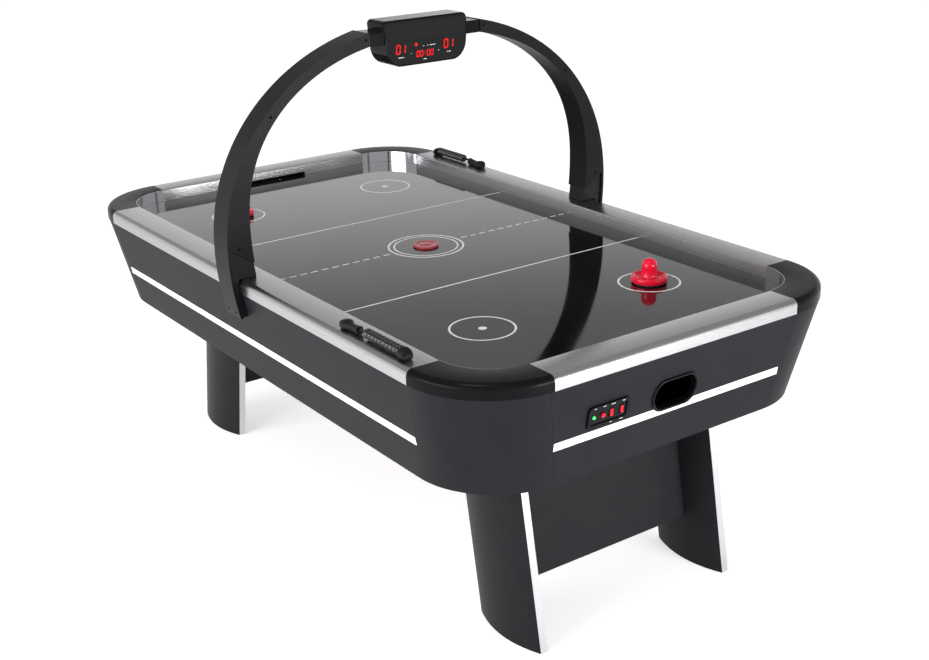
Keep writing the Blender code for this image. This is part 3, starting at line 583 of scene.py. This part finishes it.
def piece(name, bm, look, body="table", replaces=(), matrix=None, bevel=0.0, cuts=(),
          segments=3, angle=40):
    """Add one visible piece. The cuts are taken out of it before its edges are rounded."""
    item = mesh_object(name, bm, matrix)
    for index, (cut, place) in enumerate(cuts):
        cutter = mesh_object(f"{name}_cut_{index}", cut, place)
        modifier = item.modifiers.new("cut", "BOOLEAN")
        modifier.operation = "DIFFERENCE"
        modifier.solver = "EXACT"
        modifier.object = cutter
        bpy.context.view_layer.update()
        evaluated = item.evaluated_get(bpy.context.evaluated_depsgraph_get())
        cut_mesh = bpy.data.meshes.new_from_object(evaluated)
        item.modifiers.clear()
        item.data = cut_mesh
        bpy.data.objects.remove(cutter, do_unlink=True)
    item.data.materials.clear()
    item.data.materials.append(LOOKS[look].material)
    item.data.shade_smooth()
    item.data.set_sharp_from_angle(angle=math.radians(angle))
    if bevel:
        round_edges(item, bevel, segments, angle)
    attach(item, body)
    if replaces:
        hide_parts(*replaces)
    return item


def dress(node, look):
    """Give a frame part that stays visible its finished material."""
    mesh = NODES[node].data
    mesh.materials.clear()
    mesh.materials.append(LOOKS[look].material)


# Rails, corner caps and liners

def rail_profile():
    """Distance from the table's outline, then height."""
    edge = arc(EDGE_RADIUS, RAIL_TOP - EDGE_RADIUS, EDGE_RADIUS, 180, 90, 14)
    inner = arc(RAIL_WIDTH - INNER_EDGE, RAIL_TOP - INNER_EDGE, INNER_EDGE, 90, 0, 5)
    return [(0, RAIL_BOTTOM)] + edge + inner + [(RAIL_WIDTH, RAIL_BOTTOM)]


def make_rails():
    side_length = 2 * (HALF_L - CAP_RADIUS - GAP)
    end_length = 2 * (HALF_W - CAP_RADIUS - GAP)
    for side, sign in SIDES:
        bm = prism([(HALF_W - inset, height) for inset, height in rail_profile()], side_length)
        piece("rail_" + side, bm, "brushed_x", replaces=["side_rail_" + side],
              matrix=Matrix.Diagonal((1, sign, 1, 1)) @ TO_YZ)
    for end, sign in ENDS:
        bm = prism([(HALF_L - inset, height) for inset, height in rail_profile()], end_length)
        low = (HALF_L - RAIL_WIDTH - CUT_MARGIN, -GOAL_HALF_WIDTH, RAIL_BOTTOM - CUT_MARGIN)
        high = (HALF_L - GOAL_BACK, GOAL_HALF_WIDTH, RAIL_BOTTOM + GOAL_HEIGHT)
        turn = Matrix.Diagonal((sign, 1, 1, 1))
        piece("rail_" + end, bm, "brushed_y", replaces=["end_rail_" + end],
              matrix=turn @ TO_XZ, cuts=[(block(low, high), turn)])


def corner_place(sign_x, sign_y):
    centre = (sign_x * (HALF_L - CAP_RADIUS), sign_y * (HALF_W - CAP_RADIUS), 0)
    return Matrix.Translation(centre) @ Matrix.Diagonal((sign_x, sign_y, 1, 1))


def swept_quarter(profile, steps=40):
    """A (radius, height) profile swept a quarter turn about Z."""
    sections = []
    for angle in spaced(0, math.pi / 2, steps):
        sections.append([(radius * math.cos(angle), radius * math.sin(angle), height)
                         for radius, height in profile])
    return loft(sections)


def make_corners():
    cap = [(CAP_RADIUS - inset, height) for inset, height in rail_profile()]
    inner = CAP_RADIUS - RAIL_WIDTH
    low, high = PLAY_TOP + GAP, RAIL_TOP - LINER_DROP
    liner = [(inner - GAP, low), (inner - GAP, high), (inner - LINER_THICKNESS, high),
             (inner - LINER_THICKNESS, low)]
    for end, sign_x in ENDS:
        for side, sign_y in SIDES:
            place = corner_place(sign_x, sign_y)
            name = f"{end}_{side}"
            piece("cap_" + name, swept_quarter(cap), "cap",
                  replaces=["corner_cap_" + name], matrix=place)
            piece("corner_liner_" + name, swept_quarter(liner), "liner",
                  matrix=place)


# Skirt

def skirt_inset(z):
    return SKIRT_INSET + SKIRT_SLOPE * (SKIRT_TOP - z)


def end_turn(sign):
    """Turns what faces the near end to face the end that the sign stands for."""
    return Matrix.Rotation(0 if sign > 0 else math.pi, 4, "Z")


def end_frame(sign, y, z):
    """Frame on an end apron's outer face: X outwards, Z up the slope."""
    x = sign * (HALF_L - skirt_inset(z))
    lean = Matrix.Rotation(LEAN_ANGLE, 4, "Y")
    return Matrix.Translation((x, y, z)) @ end_turn(sign) @ lean


def make_corner_panels():
    """Quarter rings that lean inwards with the aprons."""
    offset = SKIRT_INSET + SKIRT_CORNER
    for end, sign_x in ENDS:
        for side, sign_y in SIDES:
            sections = []
            for z in (SKIRT_TOP, SKIRT_BOTTOM):
                drop = SKIRT_SLOPE * (z - SKIRT_TOP)
                ring = arc(drop, drop, SKIRT_CORNER, 0, 90, 40)
                ring += arc(drop, drop, SKIRT_CORNER - SKIRT_THICKNESS, 90, 0, 40)
                sections.append([(x, y, z) for x, y in ring])
            centre = Matrix.Translation((HALF_L - offset, HALF_W - offset, 0))
            piece(f"skirt_corner_{end}_{side}", loft(sections), "charcoal",
                  replaces=[f"corner_panel_{end}_{side}"],
                  matrix=Matrix.Diagonal((sign_x, sign_y, 1, 1)) @ centre, bevel=0.0006,
                  segments=2)


def make_stripe(name, half_across, half_along, turn, cuts=()):
    """A white inlay strip between the seams of one apron, leaning with it."""
    low, high = STRIPE_Z
    middle = (low + high) / 2
    inset = skirt_inset(middle)
    length = 2 * (half_along - inset - SKIRT_CORNER - GAP)
    height = (high - low) / math.cos(LEAN_ANGLE)
    out = half_across - inset + STRIPE_PROUD / 2
    lean = Matrix.Rotation(LEAN_ANGLE, 4, "Y")
    piece("apron_stripe_" + name, prism(dash((0, 0), length, height), STRIPE_PROUD), "stripe",
          matrix=turn @ Matrix.Translation((out, 0, middle)) @ lean @ TO_YZ,
          cuts=cuts, bevel=0.0003, segments=2)


def make_stripes():
    """The end stripes are interrupted by the puck-return mouths."""
    for side, sign in SIDES:
        make_stripe(side, HALF_W, HALF_L, Matrix.Rotation(sign * math.pi / 2, 4, "Z"))
    for end, sign in ENDS:
        mouth = oval(*(size - 2 * STRIPE_UNDER_RING for size in MOUTH_SIZE))
        cut = (prism(mouth, CUT_DEPTH), end_frame(sign, 0, MOUTH_Z) @ TO_YZ)
        make_stripe(end, HALF_L, HALF_W, end_turn(sign), [cut])


def make_skirt():
    for name in ("side_apron_left", "side_apron_right", "end_apron_near", "end_apron_far"):
        dress(name, "charcoal")
    make_corner_panels()
    make_stripes()


# Legs

def leg_outline(count=24):
    points = []
    for sign in (1, -1):
        for index in range(count + 1):
            share = sign * (1 - 2 * index / count)
            bulge = (LEG_HALF_MIDDLE - LEG_HALF_END) * (1 - share * share)
            points.append((LEG_HALF_CHORD * share, sign * (LEG_HALF_END + bulge)))
    return points


def make_legs():
    for end, sign_x in ENDS:
        splay = Matrix.Identity(4)
        splay[0][2] = -sign_x * LEG_SPLAY
        for side, sign_y in SIDES:
            base = Vector((sign_x * LEG_CENTRE[0], sign_y * LEG_CENTRE[1], 0))
            place = splay @ Matrix.Translation(base)
            bm = prism(leg_outline(), LEG_TOP)
            bm.transform(Matrix.Translation((0, 0, LEG_TOP / 2)))
            piece(f"leg_column_{end}_{side}", bm, "leg",
                  replaces=[f"leg_{end}_{side}"], matrix=place, bevel=0.0008, segments=2)
            for edge, sign in (("outer", sign_x), ("inner", -sign_x)):
                reach = sorted((sign * LEG_HALF_CHORD, sign * (LEG_HALF_CHORD + LEG_STRIP)))
                strip = block((reach[0], -LEG_HALF_END, LEG_STRIP_START),
                              (reach[1], LEG_HALF_END, LEG_TOP))
                piece(f"leg_strip_{end}_{side}_{edge}", strip, "chrome",
                      matrix=place, bevel=0.0005, segments=2)
        dress("leg_panel_" + end, "leg")


# Arch

def arch_y(shape, z):
    """Half the arch's width below its curve, where it tucks in towards the floor."""
    return shape["half_width"] - shape["tuck"] * (shape["base"] - z) ** 2


def arch_curve(shape, count=40):
    power = shape["power"]
    last = math.acos((ARCH_END_Y / shape["half_width"]) ** (power / 2))
    points = []
    for angle in spaced(0, last, count):
        points.append((shape["half_width"] * math.cos(angle) ** (2 / power),
                       shape["base"] + shape["rise"] * math.sin(angle) ** (2 / power)))
    return points


def strap_curves():
    """The outer and inner lines of the strap that hangs down outside the skirt."""
    heights = spaced(ARCH_FOOT_BOTTOM, ARCH_SPLIT_OUTER, 12)
    outer = [(arch_y(ARCH_OUTER, z), z) for z in heights]
    return outer, [(y - ARCH_STRAP, z) for y, z in outer]


def beam_outline():
    outer, inner = strap_curves()
    toe = [(arch_y(ARCH_INNER, z), z) for z in (ARCH_SPLIT_INNER + 2 * GAP, *ARCH_TOE_Z)]
    return (outer[:-1] + arch_curve(ARCH_OUTER) + arch_curve(ARCH_INNER)[::-1] + toe[::-1]
            + inner[::-1])


def saddle_outline():
    """The block that hooks over the side rail, inside the strap."""
    inner = strap_curves()[1]
    heel = spaced(RAIL_TOP + GAP, ARCH_SPLIT_INNER + GAP, 4)
    skirt = [(HALF_W - skirt_inset(z) + 2 * GAP, z) for z in (ARCH_FOOT_BOTTOM, SADDLE_LEDGE)]
    return ([(arch_y(ARCH_INNER, z), z) for z in heel]
            + [(y - GAP, z - GAP) for y, z in inner[:0:-1]]
            + [(inner[0][0] - GAP, ARCH_FOOT_BOTTOM)] + skirt
            + [(HALF_W + GAP, SADDLE_LEDGE), (HALF_W + GAP, RAIL_TOP + GAP)])


def screw_head(radius):
    """A domed socket screw along Z, its head's top at Z = 0."""
    return turned([(0, 0), (radius * 0.7, -0.0002), (radius, -0.0012), (radius, -0.006),
                   (0, -0.006)], 24)


def screw_spots(sign):
    """The place of each screw on one beam, with its kind."""
    spots = []
    for y, z in BEAM_SCREWS:
        for front in (1, -1):
            turn = Matrix.Rotation(front * math.pi / 2, 4, "Y")
            place = Matrix.Translation((front * ARCH_DEPTH / 2, sign * y, z))
            spots.append((place @ turn, BEAM_SCREW))
    for x, z in STRAP_SCREWS:
        lean = math.atan(2 * ARCH_OUTER["tuck"] * (ARCH_OUTER["base"] - z))
        turn = Matrix.Rotation(-sign * (math.pi / 2 + lean), 4, "X")
        place = Matrix.Translation((x, sign * arch_y(ARCH_OUTER, z), z))
        spots.append((place @ turn, STRAP_SCREW))
    return spots


def make_arch():
    for side, sign in SIDES:
        place = Matrix.Diagonal((1, sign, 1, 1)) @ TO_YZ
        spots = screw_spots(sign)
        cuts = [(rod(screw["hole"], screw["cut"]), spot) for spot, screw in spots]
        piece("arch_shell_" + side, prism(beam_outline(), ARCH_DEPTH), "arch",
              replaces=["arch_beam_" + side], matrix=place, bevel=0.0028, cuts=cuts)
        piece("arch_foot_" + side, prism(saddle_outline(), SADDLE_DEPTH), "matte",
              replaces=["arch_saddle_" + side], matrix=place, bevel=0.003)
        for index, (spot, screw) in enumerate(spots):
            sunk = spot @ Matrix.Translation((0, 0, -screw["sunk"]))
            piece(f"arch_screw_{side}_{index + 1}", screw_head(screw["head"]), "gloss",
                  matrix=sunk)


# Scoreboard

def board_outline(inset):
    half_y = BOARD_HALF_Y - inset
    top = BOARD_HIGH.z - inset
    bottom = BOARD_LOW.z + inset
    upper = BOARD_TOP_RADIUS - inset
    lower = BOARD_BOTTOM_RADIUS - inset
    points = arc(half_y - upper, top - upper, upper, 0, 90, 8)
    points += arc(-half_y + upper, top - upper, upper, 90, 180, 8)
    points += arc(-half_y + lower, bottom + lower, lower, 180, 270, 16)
    points += arc(half_y - lower, bottom + lower, lower, 270, 360, 16)
    return [(y * (1 - BOARD_TAPER * (BOARD_HIGH.z - z)), z) for y, z in points]


def lean_back(bm):
    """Curve the front of the upper part backwards, as a hood."""
    for z in spaced(HOOD_START, BOARD_HIGH.z, 8)[:-1]:
        bmesh.ops.bisect_plane(bm, geom=bm.verts[:] + bm.edges[:] + bm.faces[:],
                               plane_co=(0, 0, z), plane_no=(0, 0, 1))
    for vert in bm.verts:
        if vert.co.x > 0 and vert.co.z > HOOD_START:
            share = (vert.co.z - HOOD_START) / (BOARD_HIGH.z - HOOD_START)
            vert.co.x -= HOOD_DEPTH * share ** HOOD_CURVE
    return bm


SEGMENTS = {  # ends of a figure's outer bars, in quarters of its height from its middle
    "a": ((-1, 2), (1, 2)), "b": ((1, 2), (1, 0)), "c": ((1, 0), (1, -2)),
    "d": ((-1, -2), (1, -2)), "e": ((-1, 0), (-1, -2)), "f": ((-1, 2), (-1, 0)),
}
FIGURES = {"0": "abcdef", "1": "bc"}


def figure_bars(figure, centre, height, bar):
    """Outlines of one slanted figure's bars, in Y, Z."""
    outlines = []
    half = height / 4
    for name in FIGURES[figure]:
        (x0, y0), (x1, y1) = SEGMENTS[name]
        start = Vector((x0 * half, y0 * half))
        end = Vector((x1 * half, y1 * half))
        along = (end - start).normalized()
        across = Vector((-along.y, along.x)) * bar / 2
        start += along * bar * BAR_END
        end -= along * bar * BAR_END
        tip = along * bar / 2
        points = [start - tip, start - across, end - across, end + tip, end + across,
                  start + across]
        outlines.append([(centre[0] + point.x + FIGURE_SLANT * point.y, centre[1] + point.y)
                         for point in points])
    return outlines


def make_display():
    surface = Matrix.Translation((DISPLAY_X, 0, 0)) @ TO_YZ
    bars = []
    for y in SCORE_Y:
        for figure, shift in (("0", -SCORE_SPACING), ("1", SCORE_SPACING)):
            bars += figure_bars(figure, (y + shift, SCORE_Z), *SCORE_FIGURE)
    for shift in TIMER_SPACING:
        bars += figure_bars("0", (TIMER_Y + shift, TIMER_Z), *TIMER_FIGURE)
    bars += [dash((TIMER_Y, z), COLON_SIZE, COLON_SIZE) for z in COLON_Z]
    piece("score_figures", prisms(bars, LIT_DEPTH), "digit", matrix=surface)
    dot = prism(arc(*INDICATOR, INDICATOR_RADIUS, 0, 345, 23), LIT_DEPTH)
    piece("score_indicator", dot, "digit", matrix=surface)
    marks = prisms([dash((y, z), width, height) for y, z, width, height in SCORE_MARKS],
                   PRINT_DEPTH)
    piece("score_marks", marks, "dash", matrix=surface)


def make_scoreboard():
    case = prism(board_outline(0), BOARD_HIGH.x - BOARD_LOW.x)
    case.transform(TO_YZ)
    piece("scoreboard_shell", lean_back(case), "gloss",
          replaces=["scoreboard_case"], bevel=0.004, angle=50)
    panel = prism(board_outline(PANEL_INSET), PANEL_THICKNESS)
    panel.transform(Matrix.Translation((PANEL_X, 0, 0)) @ TO_YZ)
    piece("scoreboard_panel", lean_back(panel), "window",
          replaces=["scoreboard_window"], bevel=0.0006, segments=2, angle=50)
    middle = (arch_curve(ARCH_OUTER)[-1][1] + arch_curve(ARCH_INNER)[-1][1]) / 2
    for side, sign in SIDES:
        reach = sorted((sign * (BOARD_HALF_Y - SLEEVE_OVERLAP), sign * SLEEVE_END))
        sleeve = block((-SLEEVE_HALF_DEPTH, reach[0], middle - SLEEVE_BELOW),
                       (SLEEVE_HALF_DEPTH, reach[1], middle + SLEEVE_ABOVE))
        piece("scoreboard_sleeve_" + side, sleeve, "gloss", bevel=0.003)
    make_display()


# Controls and puck return

def control_place(x, y):
    """A place in front of the apron, measured from the middle of the control plate's back."""
    return end_frame(1, *CONTROL) @ Matrix.Translation((x, y, 0))


def rocker_hole():
    width, height = ROCKER_HOLE
    return block((-CUT_DEPTH / 2, -width / 2, -height / 2),
                 (CUT_DEPTH / 2, width / 2, height / 2))


def make_control_plate():
    width, height, thickness = CONTROL_SIZE
    plate = prism(rounded_rectangle(width / 2, height / 2, CONTROL_CORNER, 10), thickness)
    plate.transform(Matrix.Translation((0, 0, thickness / 2 + GAP)))
    recess_w, recess_h, _ = CONTROL_RECESS
    recess = prism(rounded_rectangle(recess_w / 2, recess_h / 2, RECESS_CORNER), CUT_DEPTH)
    cuts = [(recess, control_place(CONTROL_FLOOR + CUT_DEPTH / 2, 0) @ TO_YZ)]
    cuts += [(rocker_hole(), control_place(CONTROL_FLOOR, y)) for y in ROCKER_Y]
    for y, radius in ((LAMP_Y, LAMP_HOLE), (BUTTON_Y, BUTTON_HOLE)):
        cuts.append((rod(radius, CUT_DEPTH), control_place(0, y) @ ALONG_X))
    piece("control_plate", plate, "gloss", replaces=["control_bezel"],
          matrix=control_place(0, 0) @ TO_YZ, bevel=0.0009, cuts=cuts)


def make_lamp_and_button():
    lamp_place = control_place(CONTROL_FLOOR, LAMP_Y) @ ALONG_X
    lamp = smooth_profile([(0, 0.0050), (0.0028, 0.0043), (0.0046, 0.0020), (LAMP_RADIUS, 0)])
    lamp += [(LAMP_RADIUS, -0.012), (0, -0.012)]
    piece("lamp_lens", turned(lamp), "lamp", replaces=["power_lamp"],
          matrix=lamp_place)
    button_place = control_place(CONTROL_FLOOR, BUTTON_Y) @ ALONG_X
    button = [(0, 0.0048), (0.0030, 0.0047), (0.0048, 0.0044), (0.0057, 0.0038),
              (BUTTON_RADIUS, 0.0030), (BUTTON_RADIUS, -0.010), (0, -0.010)]
    piece("button_cap", turned(button), "switch", body="reset_key",
          replaces=["reset_button"], matrix=button_place)
    button_ring = [(BUTTON_HOLE, 0.0), (BUTTON_HOLE, 0.0014), (0.0070, 0.0018),
                   (0.0080, 0.0016), (0.0084, 0.0)]
    piece("button_collar", turned(button_ring), "gloss", matrix=button_place)
    lamp_ring = [(LAMP_HOLE, 0.0), (LAMP_HOLE, 0.0008), (0.0060, 0.0012), (0.0068, 0.0)]
    piece("lamp_collar", turned(lamp_ring), "gloss", matrix=lamp_place)


def make_rockers():
    """Each rocker's side view has two raised ends and a dip between them."""
    side_view = [(-0.0040, -0.0060), (0.0010, -0.0090), (0.0035, -0.0086), (0.0026, -0.0043),
                 (0.0022, 0.0), (0.0026, 0.0043), (0.0035, 0.0086), (0.0010, 0.0090),
                 (-0.0040, 0.0060)]
    tilt = Matrix.Rotation(ROCKER_TILT, 4, "Y")
    width, height, thickness = ROCKER_FRAME
    for name, y in zip(("power", "blower"), ROCKER_Y):
        piece(f"{name}_rocker_lens", prism(side_view, ROCKER_WIDTH), "switch",
              body=f"{name}_switch", replaces=[f"{name}_rocker"], bevel=0.0006,
              matrix=control_place(CONTROL_FLOOR, y) @ tilt @ TO_XZ)
        ring = prism(rounded_rectangle(width / 2, height / 2, FRAME_CORNER, 4), thickness)
        place = control_place(CONTROL_FLOOR + thickness / 2, y)
        piece(f"{name}_rocker_frame", ring, "gloss", matrix=place @ TO_YZ,
              cuts=[(rocker_hole(), place)], bevel=0.0003, segments=2)


def make_controls():
    make_control_plate()
    make_lamp_and_button()
    make_rockers()
    marks = prisms([dash((y, z), width, height) for y, z, width, height in CONTROL_MARKS],
                   PRINT_DEPTH)
    piece("control_marks", marks, "dash",
          matrix=control_place(MARK_X, 0) @ TO_YZ)


def make_puck_returns():
    for end, sign in ENDS:
        lip = []
        for share, out in MOUTH_LIP:
            lip.append([(out, a[0] + (b[0] - a[0]) * share, a[1] + (b[1] - a[1]) * share)
                        for a, b in zip(oval(*MOUTH_SIZE), oval(*MOUTH_HOLE))])
        piece("return_mouth_" + end, loft(lip, closed=True), "gloss",
              replaces=["puck_return_ring_" + end], matrix=end_frame(sign, 0, MOUTH_Z))
        dress("puck_return_tray_" + end, "matte")


# Bead scorers

def foot_section(x, half_width, top, steps=24):
    """A ring of points between the rail and a height."""
    ring = []
    for index in range(steps):
        angle = 2 * math.pi * index / steps
        across, up = (math.copysign(abs(value) ** FOOT_ROUNDING, value)
                      for value in (math.cos(angle), math.sin(angle)))
        ring.append((x, half_width * across, (top + GAP) / 2 + (top - GAP) / 2 * up))
    return ring


def scorer_foot(start, sections):
    return loft([foot_section(start + x, half_width, top) for x, half_width, top in sections])


def bead_mesh():
    """A barrel with a hole along Z."""
    half = BEAD_PITCH / 2 - GAP
    bore = ROD_RADIUS + BEAD_CLEARANCE
    shoulder = [(BEAD_RADIUS * 0.62, half), (BEAD_RADIUS * 0.86, half * 0.82),
                (BEAD_RADIUS * 0.97, half * 0.45)]
    upper = shoulder[::-1] + [(bore, half)]
    lower = [(radius, -height) for radius, height in upper[::-1]]
    return turned(smooth_profile(lower + [(BEAD_RADIUS, 0)] + upper, 3), 32)


def make_scorers():
    """One at the near end of the left rail, and the same again half a turn round."""
    beads_end = SCORER_END - OUTER_FOOT_LENGTH
    rod_length = beads_end - SCORER_START
    rod_middle = (SCORER_START + SCORER_END) / 2
    for side, sign in SIDES:
        base = end_turn(-sign) @ Matrix.Translation((0, -SCORER_Y, RAIL_TOP))
        piece("scorer_inner_foot_" + side, scorer_foot(SCORER_START, INNER_FOOT), "matte",
              replaces=["scorer_frame_" + side], matrix=base)
        piece("scorer_outer_foot_" + side, scorer_foot(beads_end, OUTER_FOOT), "matte",
              matrix=base)
        piece("scorer_rod_" + side, rod(ROD_RADIUS - ROD_INSET, rod_length, 24), "rod",
              matrix=base @ Matrix.Translation((rod_middle, 0, ROD_HEIGHT)) @ ALONG_X)
        for bead in range(2 * BEAD_PAIRS):
            x = beads_end - GAP - BEAD_PITCH * (bead + 0.5)
            piece(f"bead_{side}_{bead + 1}", bead_mesh(), "bead",
                  body="beads_" + side, replaces=[f"bead_pair_{side}_{bead // 2 + 1}"],
                  matrix=base @ Matrix.Translation((x, 0, ROD_HEIGHT)) @ ALONG_X)


# Playing pieces and markings

def make_pushers():
    knob = [(0.0, 0.0660), (0.0080, 0.0646), (0.0145, 0.0606), (0.0188, 0.0540),
            (0.0205, 0.0460), (0.0203, 0.0340), (0.0206, 0.0240), (0.0240, 0.0150)]
    brim = [(0.0330, 0.0132), (0.0385, 0.0165), (0.0430, 0.0196), (0.0468, 0.0184),
            (PUSHER_RADIUS, 0.0150), (PUSHER_RADIUS, 0.0065), (0.0475, PUSHER_FOOT)]
    profile = smooth_profile(knob + brim, 5) + [(0.0, PUSHER_FOOT)]
    for end, sign in ENDS:
        place = Matrix.Translation((sign * FACE_OFF[0], sign * FACE_OFF[1], PLAY_TOP + GAP))
        piece("pusher_moulding_" + end, turned(profile, 72), "red",
              body=end + "_pusher", replaces=["pusher_" + end], matrix=place)
        dress("pusher_felt_" + end, "felt")


def make_puck():
    """A disc with rounded edges and a shallow ring pressed into each face."""
    half = PUCK_THICKNESS / 2
    sunk = half - PUCK_GROOVE
    upper = [(0, half), (0.0200, half), (0.0205, sunk), (0.0215, sunk), (0.0220, half)]
    upper += arc(PUCK_RADIUS - PUCK_EDGE, half - PUCK_EDGE, PUCK_EDGE, 90, 0, 4)
    profile = upper + [(radius, -height) for radius, height in upper[::-1]]
    piece("puck_disc", turned(profile, 64), "puck", body="game_puck",
          replaces=["puck"], matrix=Matrix.Translation((0, 0, PLAY_TOP + GAP + half)))


def flat_ring(centre, radius, width, count=96):
    """A ring as a thin solid, its underside on Z = 0."""
    inner, outer = radius - width / 2, radius + width / 2
    corners = ((inner, 0), (outer, 0), (outer, LINE_THICKNESS), (inner, LINE_THICKNESS))
    sections = []
    for index in range(count):
        angle = 2 * math.pi * index / count
        sections.append([(centre[0] + reach * math.cos(angle),
                          centre[1] + reach * math.sin(angle), z) for reach, z in corners])
    return loft(sections, closed=True)


def make_lines():
    """Two solid lines across the board, and a dashed one that stops at the centre rings."""
    reach = HALF_W - RAIL_WIDTH - LINE_END_GAP
    level = Matrix.Translation((0, 0, PLAY_TOP + LINE_THICKNESS / 2))
    for name, sign in ENDS:
        line = prism(dash((sign * LINE_X, 0), LINE_WIDTH, 2 * reach), LINE_THICKNESS)
        piece("marking_line_" + name, line, "marking", matrix=level)
    count = int(reach / DASH_PITCH)
    places = [index * DASH_PITCH for index in range(-count, count + 1)]
    dashes = [dash((0, y), LINE_WIDTH, DASH_PITCH * DASH_SHARE) for y in places
              if abs(y) > CENTRE_RADII[0] + DASH_CLEARANCE]
    piece("marking_centre_line", prisms(dashes, LINE_THICKNESS), "marking",
          matrix=level)


def make_markings():
    dress("playfield", "laminate")
    make_lines()
    base = Matrix.Translation((0, 0, PLAY_TOP))
    rings = bmesh.new()
    for radius, width in zip(CENTRE_RADII, CENTRE_WIDTHS):
        merge(rings, flat_ring((0, 0), radius, width))
    piece("marking_centre_rings", rings, "marking", matrix=base)
    for end, sign_x in ENDS:
        for side, sign_y in SIDES:
            centre = (sign_x * FACE_OFF[0], sign_y * FACE_OFF[1])
            circle = flat_ring(centre, FACE_OFF_RADIUS, LINE_WIDTH)
            merge(circle, prism(arc(*centre, FACE_OFF_SPOT, 0, 348, 29), LINE_THICKNESS * 2))
            piece(f"marking_circle_{end}_{side}", circle, "marking", matrix=base)


def dress_hidden_parts():
    dress("plenum_tray", "fibreboard")
    for name in ("blower_housing", "blower_impeller", "power_inlet"):
        dress(name, "matte")
    dress("blower_motor", "steel")


# Studio

def make_backdrop(scene):
    """A white world, brighter near the horizon than overhead."""
    world = bpy.data.worlds.new("studio")
    scene.world = world
    world.use_nodes = True
    nodes, links = world.node_tree.nodes, world.node_tree.links
    background = nodes["Background"]
    background.inputs["Color"].default_value = (1.0, 1.0, 1.0, 1.0)
    direction = nodes.new("ShaderNodeSeparateXYZ")
    fall = nodes.new("ShaderNodeMapRange")
    fall.interpolation_type = "SMOOTHSTEP"
    fall.inputs["From Min"].default_value = math.sin(BACKDROP_FADE[0])
    fall.inputs["From Max"].default_value = math.sin(BACKDROP_FADE[1])
    fall.inputs["To Min"].default_value = BACKDROP_STRENGTH[0]
    fall.inputs["To Max"].default_value = BACKDROP_STRENGTH[1]
    links.new(nodes.new("ShaderNodeTexCoord").outputs["Generated"], direction.inputs["Vector"])
    links.new(direction.outputs["Z"], fall.inputs["Value"])
    links.new(fall.outputs["Result"], background.inputs["Strength"])


def make_studio():
    scene = bpy.context.scene
    scene.view_settings.view_transform = "Standard"
    make_backdrop(scene)
    floor = mesh_object("studio_floor", block((-FLOOR_HALF, -FLOOR_HALF, FLOOR_Z[0]),
                                              (FLOOR_HALF, FLOOR_HALF, FLOOR_Z[1])))
    floor.data.materials.append(LOOKS["floor"].material)
    for name, position, size, power in SOFTBOXES:
        light = bpy.data.lights.new(name, "AREA")
        light.shape = "RECTANGLE"
        light.size, light.size_y = size
        light.energy = power
        lamp = bpy.data.objects.new(name, light)
        scene.collection.objects.link(lamp)
        lamp.location = position
        aim = SOFTBOX_TARGET - Vector(position)
        lamp.rotation_euler = aim.to_track_quat("-Z", "Y").to_euler()


def make_camera():
    azimuth, elevation, roll = (math.radians(angle) for angle in CAMERA_ANGLES)
    back = Vector((math.sin(azimuth) * math.cos(elevation),
                   -math.cos(azimuth) * math.cos(elevation), math.sin(elevation)))
    right = Vector((math.cos(azimuth), math.sin(azimuth), 0))
    up = back.cross(right)
    across = right * math.cos(roll) + up * math.sin(roll)
    upward = -right * math.sin(roll) + up * math.cos(roll)
    data = bpy.data.cameras.new("camera")
    data.lens = CAMERA_LENS
    data.sensor_width = CAMERA_SENSOR
    camera = bpy.data.objects.new("camera", data)
    bpy.context.scene.collection.objects.link(camera)
    turn = Matrix((across, upward, back)).transposed().to_4x4()
    camera.matrix_world = Matrix.Translation(CAMERA_PLACE) @ turn
    bpy.context.scene.camera = camera


make_rails()
make_corners()
make_skirt()
make_legs()
make_arch()
make_scoreboard()
make_controls()
make_puck_returns()
make_scorers()
make_pushers()
make_puck()
make_markings()
dress_hidden_parts()
make_studio()
make_camera()
